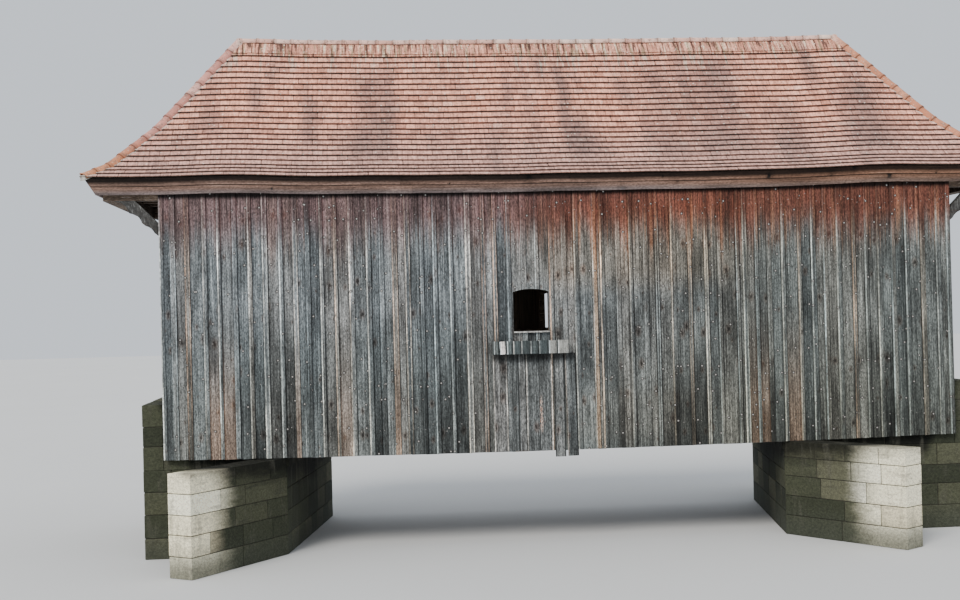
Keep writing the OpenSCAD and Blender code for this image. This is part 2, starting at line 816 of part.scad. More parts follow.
left_abutment();
right_abutment();
bearing_timbers();
front_chord();
back_chord();
floor_beams();
floor_joists();
deck();
front_posts();
back_posts();
front_struts();
back_struts();
front_rails();
back_rails();
front_plate();
back_plate();
end_plates();
left_eave_braces();
right_eave_braces();
knee_braces();
tie_beams();
stub_beams();
front_rafters();
back_rafters();
end_rafters();
hip_rafters();
collar_beams();
sprockets();
roof_battens();
front_tiles();
back_tiles();
left_tiles();
right_tiles();
ridge_caps();
hip_caps();
front_fascia();
back_fascia();
end_fascias();
front_boarding();
back_boarding();
front_cover_strips();
back_cover_strips();
apron_boards();
flower_box();
window_sills();
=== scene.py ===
# Covered bridge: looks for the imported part. Lengths are in metres, in the part's own frame.
import bpy
import bmesh
import math
import numpy as np
from contextlib import contextmanager
from mathutils import Matrix, Vector, noise


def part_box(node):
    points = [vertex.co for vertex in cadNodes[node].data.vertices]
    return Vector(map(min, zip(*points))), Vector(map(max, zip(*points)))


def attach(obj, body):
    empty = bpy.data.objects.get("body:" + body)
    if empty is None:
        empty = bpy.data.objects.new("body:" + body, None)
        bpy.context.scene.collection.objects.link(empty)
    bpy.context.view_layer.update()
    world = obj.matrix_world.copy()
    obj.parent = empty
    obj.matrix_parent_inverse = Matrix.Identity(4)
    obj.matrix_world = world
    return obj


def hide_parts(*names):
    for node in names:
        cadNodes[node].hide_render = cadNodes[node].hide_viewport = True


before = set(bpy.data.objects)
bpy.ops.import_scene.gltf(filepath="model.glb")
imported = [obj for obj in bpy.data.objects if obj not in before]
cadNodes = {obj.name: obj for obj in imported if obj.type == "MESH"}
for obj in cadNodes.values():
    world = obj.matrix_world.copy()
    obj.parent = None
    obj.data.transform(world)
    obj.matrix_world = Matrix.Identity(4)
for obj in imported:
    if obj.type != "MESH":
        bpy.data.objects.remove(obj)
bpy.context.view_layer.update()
print("frame loaded:", len(cadNodes), "nodes")

bridge = {
    "halfLength": 6.6, "frameHalfWidth": 2.05, "boardThick": 0.025, "stripThick": 0.022,
    "boardsLow": 1.6, "boardsTop": 5.95, "sillZ": 3.5, "deckTop": 2.5, "deckThick": 0.08,
}
roof = {
    "halfEave": 2.33, "halfEnd": 7.755, "eaveZ": 6.12, "pitches": (30.0, 45.5, 53.0),
    "lowRun": 0.42, "midRun": 0.966, "tileTop": 0.055, "tileBase": 0.035,
    "turnMark": 40,  # what each radian of a slope's turn adds to its tiles' marks
}
# How far the old roof's skin has settled between its ends, with the rise over the wall ends
settling = {
    "eave": 0.062, "ridge": 0.055, "rise": 0.036, "riseAt": 5.4, "riseWidth": 0.8, "riseFade": 0.35,
    # A fine waviness: its height, and each wave's share, pace along X, start and pace up the slope
    "wave": 0.004, "waves": ((1.0, 1.7, 0.6, 3), (0.7, 4.1, 2.1, -5)),
}
boardFace = bridge["frameHalfWidth"] + bridge["boardThick"]
stripFace = boardFace + bridge["stripThick"]


# Roof section: d in from the tile edge, z up, and the pitch there

def alongPitch(pitch):
    return np.array([math.cos(pitch), math.sin(pitch)])


def outOfPitch(pitch):
    return np.array([-math.sin(pitch), math.cos(pitch)])


lowPitch, midPitch, mainPitch = (math.radians(p) for p in roof["pitches"])
eavePoint = np.array([0.0, roof["eaveZ"]])
lowKink = eavePoint + roof["lowRun"] * alongPitch(lowPitch)
midKink = lowKink + roof["midRun"] * alongPitch(midPitch)
peakZ = midKink[1] + (roof["halfEave"] - midKink[0]) * math.tan(mainPitch)
peakPoint = np.array([roof["halfEave"], peakZ])
slopeLength = roof["lowRun"] + roof["midRun"] + (roof["halfEave"] - midKink[0]) / math.cos(mainPitch)
ridgeHalf = roof["halfEnd"] - roof["halfEave"]


def slopeAt(s):
    if s < roof["lowRun"]:
        return eavePoint + s * alongPitch(lowPitch), lowPitch
    if s < roof["lowRun"] + roof["midRun"]:
        return lowKink + (s - roof["lowRun"]) * alongPitch(midPitch), midPitch
    return midKink + (s - roof["lowRun"] - roof["midRun"]) * alongPitch(mainPitch), mainPitch


def settleMesh(mesh):
    places = np.empty(len(mesh.vertices) * 3)
    mesh.vertices.foreach_get("co", places)
    x, z = places[::3], places[2::3]
    up = np.clip((z - roof["eaveZ"]) / (peakZ - roof["eaveZ"]), 0, 1)
    span = np.clip(1 - (x / roof["halfEnd"]) ** 2, 0, 1)
    drop = (settling["eave"] * (1 - up) + settling["ridge"] * up) * span
    rise = settling["rise"] * (1 - settling["riseFade"] * up) * np.exp(
        -((np.abs(x) - settling["riseAt"]) / settling["riseWidth"]) ** 2)
    wave = settling["wave"] * sum(share * np.sin(pace * x + start + climb * up)
                                  for share, pace, start, climb in settling["waves"])
    places[2::3] += rise - drop + wave * span
    mesh.vertices.foreach_set("co", places)
    mesh.update()


# Mesh helpers

def addObject(name, mesh):
    piece = bpy.data.objects.new(name, mesh)
    bpy.context.scene.collection.objects.link(piece)
    return piece


def meshFrom(name, places, faces):
    mesh = bpy.data.meshes.new(name)
    mesh.from_pydata([tuple(p) for p in places], [], faces)
    mesh.update()
    return mesh


@contextmanager
def editing(mesh):
    # Opens a mesh as a BMesh, and writes it back
    shape = bmesh.new()
    shape.from_mesh(mesh)
    yield shape
    shape.to_mesh(mesh)
    shape.free()
    mesh.update()


def fixNormals(mesh):
    with editing(mesh) as shape:
        bmesh.ops.recalc_face_normals(shape, faces=shape.faces)


def bisect(shape, origin, outward, **settings):
    everything = shape.verts[:] + shape.edges[:] + shape.faces[:]
    bmesh.ops.bisect_plane(shape, geom=everything, plane_co=origin, plane_no=outward, dist=1e-6, **settings)


def cutAway(mesh, planes):
    # Cuts a mesh of closed shapes back to the inner side of each plane, and closes the cuts
    with editing(mesh) as shape:
        for origin, outward in planes:
            bisect(shape, origin, outward, clear_outer=True)
            rim = [edge for edge in shape.edges if len(edge.link_faces) == 1]
            if rim:
                bmesh.ops.holes_fill(shape, edges=rim, sides=0)
        loose = [vert for vert in shape.verts if not vert.link_faces]
        if loose:
            bmesh.ops.delete(shape, geom=loose, context="VERTS")


def solids(name, ringSets):
    # Closed solids, each through its own rings of points
    places, faces = [], []
    for rings in ringSets:
        n = len(rings[0])
        faces.append(tuple(len(places) + j for j in reversed(range(n))))
        for i in range(len(rings)):
            base = len(places)
            places += rings[i]
            if i:
                faces += [(base - n + j, base - n + (j + 1) % n, base + (j + 1) % n, base + j) for j in range(n)]
        faces.append(tuple(len(places) - n + j for j in range(n)))
    mesh = meshFrom(name, places, faces)
    fixNormals(mesh)
    return mesh


def gridBox(name, xs, ys, topZ, lowZ):
    # A closed slab over a grid in x and y, with a height for each of its two skins
    nx, ny = len(xs), len(ys)
    places = [(x, y, skin(x, y)) for skin in (topZ, lowZ) for y in ys for x in xs]
    lift = nx * ny
    faces = []
    for j in range(ny - 1):
        for i in range(nx - 1):
            a = j * nx + i
            faces.append((a, a + 1, a + nx + 1, a + nx))
            faces.append((lift + a, lift + a + nx, lift + a + nx + 1, lift + a + 1))
    for a in range(nx - 1):
        b = (ny - 1) * nx + a
        faces += [(a, lift + a, lift + a + 1, a + 1), (b, b + 1, lift + b + 1, lift + b)]
    for a in range(0, lift - nx, nx):
        b = a + nx - 1
        faces += [(a, a + nx, lift + a + nx, lift + a), (b, lift + b, lift + b + nx, b + nx)]
    return meshFrom(name, places, faces)


def pointData(mesh, name, values):
    values = np.asarray(values, dtype=np.float32)
    kind, field = ("FLOAT_VECTOR", "vector") if values.ndim == 2 else ("FLOAT", "value")
    mesh.attributes.new(name, kind, "POINT").data.foreach_set(field, values.ravel())


def applyModifiers(piece):
    graph = bpy.context.evaluated_depsgraph_get()
    mesh = bpy.data.meshes.new_from_object(
        piece.evaluated_get(graph), preserve_all_data_layers=True, depsgraph=graph)
    piece.modifiers.clear()
    piece.data = mesh


def turnMesh(mesh, angle, axis="Z"):
    mesh.transform(Matrix.Rotation(angle, 4, axis))


def joinMeshes(pieces, name):
    bpy.ops.object.select_all(action="DESELECT")
    for piece in pieces:
        piece.select_set(True)
    bpy.context.view_layer.objects.active = pieces[0]
    if len(pieces) > 1:
        bpy.ops.object.join()
    joined = bpy.context.view_layer.objects.active
    joined.name = name
    joined.data.name = name
    return joined


def setFinish(mesh, finishName):
    mesh.materials.clear()
    mesh.materials.append(finishes[finishName])


def finishPiece(piece, finishName, slotName, *replaced):
    setFinish(piece.data, finishName)
    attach(piece, "root")
    if replaced:
        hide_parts(*replaced)


def addNode(tree, kind, given, **settings):
    # A node with its settings, its inputs linked to sockets or set to values
    node = tree.nodes.new(kind)
    for name, value in settings.items():
        setattr(node, name, value)
    for label, value in given.items():
        if isinstance(value, bpy.types.NodeSocket):
            tree.links.new(value, node.inputs[label])
        else:
            node.inputs[label].default_value = value
    return node


# One Geometry Nodes tree that sets a shape on every point of a mesh

def buildCopyTree():
    tree = bpy.data.node_groups.new("placeCopies", "GeometryNodeTree")
    for label, kind in (("Points", "Geometry"), ("Shape", "Object"), ("Turn Jitter", "Float"),
                        ("Size Jitter", "Float"), ("Seed", "Int"), ("Finish", "Material")):
        tree.interface.new_socket(label, in_out="INPUT", socket_type="NodeSocket" + kind)
    tree.interface.new_socket("Copies", in_out="OUTPUT", socket_type="NodeSocketGeometry")

    def add(kind, given, **settings):
        return addNode(tree, kind, given, **settings).outputs

    given = add("NodeGroupInput", {})
    vectors = {}
    for label, middle, kind in (("turn", 0.0, "ADD"), ("size", 1.0, "MULTIPLY")):
        named = add("GeometryNodeInputNamedAttribute", {"Name": label}, data_type="FLOAT_VECTOR")
        chance = add("FunctionNodeRandomValue", {0: (-1, -1, -1), 1: (1, 1, 1), "Seed": given["Seed"]},
                     data_type="FLOAT_VECTOR")
        scaled = add("ShaderNodeVectorMath", {0: chance[0], "Scale": given[label.title() + " Jitter"]},
                     operation="SCALE")
        shifted = add("ShaderNodeVectorMath", {0: scaled[0], 1: (middle, middle, middle)})
        vectors[label] = add("ShaderNodeVectorMath", {0: named[0], 1: shifted[0]}, operation=kind)[0]
    placed = add("GeometryNodeInstanceOnPoints", {
        "Points": given["Points"],
        "Instance": add("GeometryNodeObjectInfo", {"Object": given["Shape"]})["Geometry"],
        "Rotation": add("FunctionNodeEulerToRotation", {0: vectors["turn"]})[0],
        "Scale": vectors["size"]})
    realized = add("GeometryNodeRealizeInstances", {0: placed[0]})
    finished = add("GeometryNodeSetMaterial", {"Geometry": realized[0], "Material": given["Finish"]})
    add("NodeGroupOutput", {0: finished[0]})
    return tree


copyTree = buildCopyTree()


def spot(place, turn=(0, 0, 0), size=(1, 1, 1), tone=0.5, mark=(0, 0, 0)):
    # A place for a copy: where, how turned, how large, and the tone and mark that its finish reads
    return tuple(place), turn, size, tone, mark


def placeCopies(name, spots, shapeMesh, finishName, turnJitter=0.0, sizeJitter=0.0, seed=1):
    places, turns, sizes, tones, marks = zip(*spots)
    cloud = meshFrom(name, places, [])
    for label, values in (("turn", turns), ("size", sizes), ("tone", tones), ("mark", marks)):
        pointData(cloud, label, values)
    piece = addObject(name, cloud)
    shape = addObject(name + ".shape", shapeMesh)
    copies = piece.modifiers.new("copies", "NODES")
    copies.node_group = copyTree
    values = {"Shape": shape, "Turn Jitter": turnJitter, "Size Jitter": sizeJitter,
              "Seed": seed, "Finish": finishes[finishName]}
    for item in copyTree.interface.items_tree:
        if item.in_out == "INPUT" and item.name in values:
            copies[item.identifier] = values[item.name]
    applyModifiers(piece)
    bpy.data.objects.remove(shape)
    for spare in ("turn", "size"):
        if spare in piece.data.attributes:
            piece.data.attributes.remove(piece.data.attributes[spare])
    return piece


# Materials

class Value:
    # A socket of a finish, with arithmetic and colour mixing that add nodes
    def __init__(self, finish, socket):
        self.finish, self.socket = finish, socket

    def math(self, kind, first, second=0.0):
        return self.finish.node("Math", {0: first, 1: second}, operation=kind)

    def __rsub__(self, other):
        return self.math("SUBTRACT", other, self)

    def __abs__(self):
        return self.math("ABSOLUTE", self)

    def fraction(self):
        return self.math("FRACT", self)

    def ramp(self, low, high, start=0.0, end=1.0):
        # Eases from start to end while this value goes from low to high
        return self.finish.node("MapRange", {"Value": self, "From Min": low, "From Max": high,
                                             "To Min": start, "To Max": end}, interpolation_type="SMOOTHSTEP")

    def mixed(self, factor, other, kind="MIX"):
        return self.finish.mix(factor, self, other, kind)

    def tinted(self, tint):
        return self.mixed(1.0, tint, "MULTIPLY")

    def shaded(self, value):
        return self.tinted(self.finish.node("CombineColor", {0: value, 1: value, 2: value}))

    def varied(self, value, spread, low=0.3, high=0.7):
        return self.shaded(value.ramp(low, high, 1 - spread, 1 + spread))


for method, operation in (("__add__", "ADD"), ("__sub__", "SUBTRACT"), ("__mul__", "MULTIPLY"),
                          ("__truediv__", "DIVIDE"), ("__lt__", "LESS_THAN"), ("atLeast", "MAXIMUM")):
    setattr(Value, method, lambda self, other, kind=operation: self.math(kind, self, other))


class Finish:
    # A procedural material, written as calls that return values
    def __init__(self, name, roughness=0.85):
        self.material = bpy.data.materials.new(name)
        self.material.use_nodes = True
        self.tree = self.material.node_tree
        self.shader = next(n for n in self.tree.nodes if n.type == "BSDF_PRINCIPLED")
        self.shader.inputs["Roughness"].default_value = roughness
        self.shader.inputs["Specular IOR Level"].default_value = 0.25
        self.coords = self.node("TexCoord", {}, "Object")

    def node(self, kind, given, output=0, **settings):
        given = {label: value.socket if isinstance(value, Value) else value for label, value in given.items()}
        return Value(self, addNode(self.tree, "ShaderNode" + kind, given, **settings).outputs[output])

    def stretch(self, scale, shift=(0, 0, 0)):
        scale = scale if isinstance(scale, tuple) else (scale, scale, scale)
        return self.node("Mapping", {"Vector": self.coords, "Scale": scale, "Location": shift})

    def noise(self, vector, detail=4.0, rough=0.55):
        return self.node("TexNoise", {"Vector": vector, "Scale": 1.0, "Detail": detail, "Roughness": rough})

    def clouds(self, scale, detail=4.0, rough=0.55):
        return self.noise(self.stretch(scale), detail, rough)

    def cells(self, vector, scale=1.0, dimensions="3D"):
        # The distance from a cell's middle, and a number for each cell
        distance = self.node("TexVoronoi", {"Vector": vector, "Scale": scale}, "Distance",
                             voronoi_dimensions=dimensions)
        return distance, Value(self, distance.socket.node.outputs["Color"])

    def colours(self, value, stops):
        colour = self.node("ValToRGB", {0: value})
        band = colour.socket.node.color_ramp
        for element, (place, tint) in zip((band.elements[0], band.elements[-1]), (stops[0], stops[-1])):
            element.position, element.color = place, (*tint, 1)
        for place, tint in stops[1:-1]:
            band.elements.new(place).color = (*tint, 1)
        return colour

    def mix(self, factor, first, second, kind="MIX"):
        first, second = (value if isinstance(value, Value) else (*value, 1.0) for value in (first, second))
        return self.node("Mix", {0: factor, 6: first, 7: second}, 2, data_type="RGBA", blend_type=kind)

    def attribute(self, name, output="Fac"):
        return self.node("Attribute", {}, output, attribute_name=name)

    def split(self, vector):
        x = self.node("SeparateXYZ", {0: vector})
        return [Value(self, socket) for socket in x.socket.node.outputs]

    def join(self, *parts):
        return self.node("CombineXYZ", dict(enumerate(parts)))

    def done(self, colour, height=None, depth=0.004):
        self.tree.links.new(colour.socket, self.shader.inputs["Base Color"])
        if height is not None:
            bump = self.node("Bump", {"Strength": 0.8, "Distance": depth, "Height": height})
            self.tree.links.new(bump.socket, self.shader.inputs["Normal"])
        return self.material


def woodFinish(name, grain, palette, toned=True, stainsAndEaveShade=False, edged=None, knots=0.8, bite=1.0,
               silver=0.35, eaveShadeAndWear=False, flaked=None, dimmed=None):
    # Weathered wood. The grain runs along one axis, and the palette goes over the boards' tones.
    # edged is "worn" where a board's edges are pale, partly worn wood and partly painted highlight (or dark,
    # below 0, with painted shade in the gaps), and "dark" where they lie in painted shade beside the cover
    # strips. flaked is the place of a patch of paint, dimmed the span of a painted shadow.
    wood = Finish(name)
    axis = "XYZ".index(grain)
    tone = wood.attribute("tone") if toned else wood.clouds(0.9, 1.0)
    shift = wood.join(tone * 37.0, tone * 11.0, tone * 23.0)
    places = wood.split(wood.coords)
    x, y, z = places

    def grained(across, along, detail=4.0, rough=0.55):
        scale = tuple(along if i == axis else across for i in range(3))
        return wood.noise(wood.stretch(scale, shift), detail, rough)

    streak = grained(62, 0.9, 6.0, 0.68)
    fibre = grained(210, 9, 4.0, 0.7)
    patch = grained(3.2, 0.9, 4.0, 0.6)
    speck = grained(60, 24, 6.0, 0.75)
    colour = wood.colours(tone, palette).mixed(streak.ramp(0.55, 0.72, 0.0, silver), (0.36, 0.37, 0.36))
    first, second = (place for i, place in enumerate(places) if i != axis)
    sideways = first + second + tone * 31.0
    knot, each = wood.cells(wood.join(sideways, places[axis] * 0.55, 0.0), 3.6, "2D")
    knot = knot / each.ramp(0.25, 0.85, 0.3, 1.7) + (speck - 0.5) * 0.09
    colour = colour.mixed(knot.ramp(0.05, 0.17, 0.5 * knots, 0.0), (0.10, 0.06, 0.042))
    colour = colour.mixed(knot.ramp(0.025, 0.07, knots, 0.0), (0.022, 0.018, 0.017))
    if edged:
        atLeft, atRight, wide = wood.split(wood.attribute("mark", "Vector"))
        fromLeft = wood.attribute("across") * wide
        sides = ((fromLeft, atLeft), (wide - fromLeft, atRight))
    if edged == "dark":
        # Painted shade on the boards beside the cover strips
        for distance, strength in sides:
            colour = colour.mixed(distance.ramp(0.036, 0.064, 1.0, 0.0) * strength, (0.025, 0.026, 0.028))
    if edged == "worn":
        # Pale edges are worn wood with painted highlight, and edges below 0 get painted shade in the gaps
        wander = (grained(1.0, 0.9, 5.0, 0.7) - 0.5) * 0.04
        bleachedAndLit = wood.colours((tone * 7.31).fraction(), edgePalette)
        broken = grained(1.5, 0.6, 4.0, 0.7).ramp(0.36, 0.6, 0.35, 1.0)
        for distance, strength in sides:
            line = (distance + wander).ramp(0.010, 0.024, 1.0, 0.0)
            colour = colour.mixed(line * strength * broken, bleachedAndLit)
            colour = colour.mixed(line * strength.ramp(-1.0, 0.0, 1.0, 0.0), (0.02, 0.022, 0.022))
    if stainsAndEaveShade:
        # Red-brown is left under the eave, and washes down board by board
        reach = z + (grained(9, 0.12, 3.0) - 0.5) * 0.75 + (tone - 0.5) * 0.35
        tan = grained(24, 0.15, 3.0).ramp(0.5, 0.62)
        glow = tan * reach.ramp(4.6, 5.3) * x.ramp(-2.0, 0.6, 0.2, 0.75)
        red = wood.mix(x.ramp(-2.0, 0.6), (0.128, 0.062, 0.057), (0.126, 0.046, 0.033))
        fade = reach.ramp(4.8, 5.55) * x.ramp(-2.0, 0.4, 0.68, 0.92) * tan.ramp(0.0, 1.0, 1.0, 0.75)
        colour = colour.mixed(glow, (0.33, 0.175, 0.105)).mixed(fade, red)
        # Washed grey and darker towards the feet, each board in its own way, and browner to the right
        own = (tone * 13.7).fraction()
        low = z.ramp(1.7, 4.1, 1.0, 0.0)
        swing = own.ramp(0.0, 1.0, -0.72, 0.22) - x.ramp(-1.5, 1.0, 0.0, 0.1)
        colour = colour.shaded(low * swing + 1.0)
        colour = colour.mixed(low * own.ramp(0.9, 0.92, 0.0, 0.65), (0.23, 0.13, 0.085))
        rightward = x.ramp(-1.5, 3.0)
        lean = wood.mix(rightward, (1.02, 1.08, 1.12), (0.93, 0.92, 0.87))
        topLean = wood.mix(rightward, (0.89, 0.87, 0.90), (0.93, 0.79, 0.69))
        lean = lean.mixed(z.ramp(5.15, 5.55), topLean)
        lean = lean.mixed(low, lean.tinted((0.89, 0.885, 0.83)))
        colour = colour.tinted(lean)
        for middleX, halfX, middleZ, halfZ, tint in weathering:
            inside = [abs(place - middle).ramp(0.5 * half, 1.2 * half, 1.0, 0.0)
                      for place, middle, half in ((x, middleX, halfX), (z, middleZ, halfZ))]
            colour = colour.mixed(inside[0] * inside[1], colour.tinted(tint))
        # Always in the eave boards' shade at the very top
        under = z + settling["eave"] + x * x * (-settling["eave"] / 60.0)
        colour = colour.shaded(under.ramp(5.79, 5.87, 1.0, 0.1))
    if eaveShadeAndWear:
        # Greyer towards the foot, painted shade at the top and in the groove, and warmer to the right
        rise = wood.attribute("rise")
        colour = colour.mixed(rise.ramp(0.05, 0.4, 0.75, 0.0), (0.165, 0.143, 0.145))
        # Painted shade from the tiles' edge over the boards' upper part
        colour = colour.shaded(rise.ramp(0.55, 0.82, 1.0, 0.09))
        # Painted shade in the groove between the two boards
        colour = colour.shaded(abs(rise - 0.5).ramp(0.015, 0.05, 0.35, 1.0))
        colour = colour.mixed(x.ramp(0.0, 5.0), colour.tinted((1.0, 0.87, 0.74)))
    for value, spread in ((streak, 0.4), (fibre, 0.28), (patch, 0.3), (speck, 0.45)):
        colour = colour.varied(value, spread * bite, 0.32, 0.68)
    if stainsAndEaveShade:
        # Pale chips in bruised spots. The inner faces never weathered, and stay brown.
        chip, each = wood.cells(wood.join(sideways, places[axis], 0.0), 4.4, "2D")
        chosen = each.ramp(0.5, 0.54)
        colour = colour.mixed(chip.ramp(0.07, 0.15, 0.8, 0.0) * chosen, (0.032, 0.027, 0.025))
        colour = colour.mixed(chip.ramp(0.03, 0.065, 0.9, 0.0) * chosen, (0.52, 0.50, 0.47))
        inner = wood.colours(tone, innerPalette).varied(streak, 0.5)
        colour = colour.mixed(abs(y).ramp(2.056, 2.06, 1.0, 0.0), inner)
    if dimmed:
        # Painted shadow of the flower box over the dimmed span of heights
        colour = colour.shaded(z.ramp(*dimmed, 1.0, 0.3))
    if flaked:
        # Old paint that still flakes off in one place
        near = abs(x - flaked[0]).ramp(0.008, 0.034, 1.0, 0.0) * abs(z - flaked[1]).ramp(0.12, 0.36, 1.0, 0.0)
        paint = wood.colours(fibre, ((0.42, (0.50, 0.17, 0.06)), (0.56, (0.75, 0.66, 0.58))))
        colour = colour.mixed(near * speck.ramp(0.47, 0.52), paint)
    return wood.done(colour, streak * 0.6 + fibre * 0.6, 0.006)


def tileFinish():
    tiles = Finish("weatheredShadedTiles", 0.8)
    along, up, _ = tiles.split(tiles.attribute("mark", "Vector"))
    x, y, z = tiles.split(tiles.coords)
    # Marks of the two end slopes lie a quarter turn off, and there the courses run along Y
    turned = abs(abs(along) - roof["turnMark"] * math.pi / 2) < roof["turnMark"] / 2
    across = x + turned * (y - x)

    def upright(wide, high, detail=4.0):
        return tiles.noise(tiles.join(across * wide, z * high, 0.0), detail, 0.6)

    colour = tiles.colours(tiles.attribute("tone"), tilePalette)
    colour = colour.mixed(up.ramp(0.2, 1.8, 0.65, 0.0), (0.52, 0.345, 0.30))
    wash = tiles.noise(tiles.join(along * 2.2, up * 0.3, 0.0), 4.0, 0.6)
    colour = colour.mixed(wash.ramp(0.46, 0.72, 0.0, 0.62), (0.23, 0.165, 0.15))
    fall = upright(26, 3)
    stain = tiles.attribute("stain") * fall.ramp(0.3, 0.62, 0.85, 1.35)
    colour = colour.mixed(stain, (0.165, 0.125, 0.12))
    mottle, grit = tiles.clouds(24, 5.0, 0.6), tiles.clouds(110, 4.0, 0.7)
    # Moss in short runs on the top course, lichen in the courses below it and in scattered spots
    topmost = up.ramp(3.1, 3.2)
    moss, rust, zone = upright(13, 1.5, 3.0), upright(21, 2, 3.0), upright(1.3, 0, 2.0)
    colour = colour.mixed(topmost * moss.ramp(0.51, 0.6, 0.0, 0.75), (0.30, 0.235, 0.13))
    colour = colour.mixed(topmost * rust.ramp(0.51, 0.6, 0.0, 0.95), (0.12, 0.06, 0.045))
    creamy = rust + (zone - 0.5) * -0.35
    colour = colour.mixed(topmost * creamy.ramp(0.37, 0.45, 0.8, 0.0), (1.0, 0.80, 0.58))
    colour = colour.shaded(1.0 - topmost * 0.13)
    lichen = tiles.cells(tiles.stretch(11))[0]
    colour = colour.mixed(lichen.ramp(0.09, 0.17, 0.8, 0.0), (0.86, 0.78, 0.67))
    crust = up.ramp(2.5, 3.0) * up.ramp(3.1, 3.2, 1.0, 0.0) * moss.ramp(0.56, 0.62)
    colour = colour.mixed(crust * 0.6, (0.60, 0.55, 0.44))
    # Mortar smeared beside the hips' upper ends
    hip = abs(abs(x) - ridgeHalf - abs(y)) + mottle * 0.05
    smear = hip.ramp(0.15, 0.21, 0.75, 0.0) * z.ramp(peakZ - 0.35, peakZ - 0.2, 1.0, 0.0)
    colour = colour.mixed(smear, (0.60, 0.55, 0.48))
    colour = colour.varied(mottle, 0.3).varied(grit, 0.38).varied(fall, 0.2)
    # Painted shade in the gaps along each tile's sides
    colour = colour.mixed(tiles.attribute("rim").ramp(0.88, 0.97, 0.0, 0.3), (0.09, 0.05, 0.04))
    # Soiling and painted shade under each course's foot and on the tiles' undersides
    colour = colour.mixed(tiles.attribute("grimeAndShade") * 0.95, (0.028, 0.016, 0.013))
    return tiles.done(colour, mottle + grit)


def capFinish():
    caps = Finish("capTerracotta", 0.75)
    x, _, z = caps.split(caps.coords)
    mottle, grit = caps.clouds(14, 5.0, 0.65), caps.clouds(90, 4.0, 0.7)
    pink, rose, orange = (caps.colours(caps.attribute("tone"), stops) for stops in capPalettes)
    colour = pink.mixed(abs(x).ramp(ridgeHalf - 0.05, ridgeHalf + 0.1), rose)
    colour = colour.mixed(z.ramp(6.45, 7.0, 1.0, 0.0).atLeast(x.ramp(5.3, 5.6, 0.0, 0.85)), orange)
    colour = colour.mixed(mottle.ramp(0.5, 0.66, 0.0, 0.75), (0.27, 0.17, 0.13))
    spots = caps.cells(caps.stretch(17))[0]
    colour = colour.mixed(spots.ramp(0.12, 0.22, 0.6, 0.0), (0.68, 0.62, 0.52))
    # Soiling and painted shade along the caps' lower edges and feet
    colour = colour.varied(grit, 0.18).mixed(caps.attribute("grimeAndShade") * 0.9, (0.04, 0.025, 0.02))
    return caps.done(colour, mottle + grit)


def mortarFinish(name, dark, pale):
    mortar = Finish(name, 0.95)
    grain = mortar.clouds(30, 6.0, 0.65)
    return mortar.done(mortar.mix(grain.ramp(0.3, 0.7), dark, pale), grain, 0.01)


def stoneFinish():
    stone = Finish("weatheredSandstoneLitAndShaded", 0.92)
    tone = stone.attribute("tone")
    x, y, z = stone.split(stone.coords)
    grain, pits = stone.clouds((26, 26, 32), 6.0, 0.7), stone.clouds((95, 95, 120), 4.0, 0.7)
    bed = stone.clouds((2.2, 2.2, 11), 5.0, 0.6)
    # Two looks of the stone: pale and painted as sunlit, and dark, damp and in painted shade
    litAndWashed = stone.colours(tone, stonePalette).mixed(bed.ramp(0.5, 0.72, 0.0, 0.5), (0.27, 0.235, 0.18))
    shadedAndDamp = stone.colours(tone, shadedDampPalette).mixed(bed.ramp(0.5, 0.72, 0.0, 0.4), (0.03, 0.03, 0.024))
    # In shade just under the bridge, but not at the outer ends
    outward = abs(y)
    upper = z - outward * 0.12 + (bed - 0.5) * 0.25 - abs(x).ramp(6.0, 6.9, 0.0, 1.5)
    shadedAndDamp = shadedAndDamp.shaded(upper.ramp(0.8, 1.22, 1.12, 0.16))
    litAndWashed = litAndWashed.shaded(upper.ramp(0.92, 1.2, 1.0, 0.42))
    # Near the bridge the stone is dark, damp and in painted shade, and what the rain reaches farther out is pale
    # and painted as sunlit
    out = outward + (bed - 0.5) * 0.4 + (tone - 0.5) * 0.35
    colour = shadedAndDamp.mixed(out.ramp(3.08, 3.6), litAndWashed)
    soak = stone.clouds((6, 6, 1.1), 5.0, 0.6)
    colour = colour.mixed(soak.ramp(0.52, 0.68, 0.0, 0.35), (0.10, 0.095, 0.075))
    colour = colour.mixed(z.ramp(0.05, 0.6, 0.8, 0.0), (0.05, 0.055, 0.04))
    return stone.done(colour.varied(grain, 0.3).varied(pits, 0.28), grain + pits * 0.4, 0.014)


def ironFinish():
    iron = Finish("nailIron", 0.5)
    iron.shader.inputs["Metallic"].default_value = 0.6
    wear = iron.clouds(60, 3.0)
    return iron.done(iron.mix(wear, (0.32, 0.30, 0.28), (0.55, 0.52, 0.48)), wear, 0.001)


def floorFinish():
    ground = Finish("studioFloor", 0.9)
    return ground.done(ground.mix(ground.clouds(0.2, 2.0), (0.66, 0.66, 0.65), (0.70, 0.70, 0.69)))


# Where the walls weathered more or less: middle and half width along X, middle and half height, tint
weathering = ((1.1, 2.0, 4.95, 0.8, (1.22, 1.05, 0.91)), (4.5, 2.6, 3.2, 2.2, (0.79, 0.85, 0.865)),
              (-3.6, 3.4, 3.1, 0.7, (0.85, 0.87, 0.87)), (-3.6, 3.4, 4.6, 0.7, (1.1, 1.1, 1.1)),
              (1.0, 1.9, 2.1, 0.45, (1.22, 1.18, 1.15)))
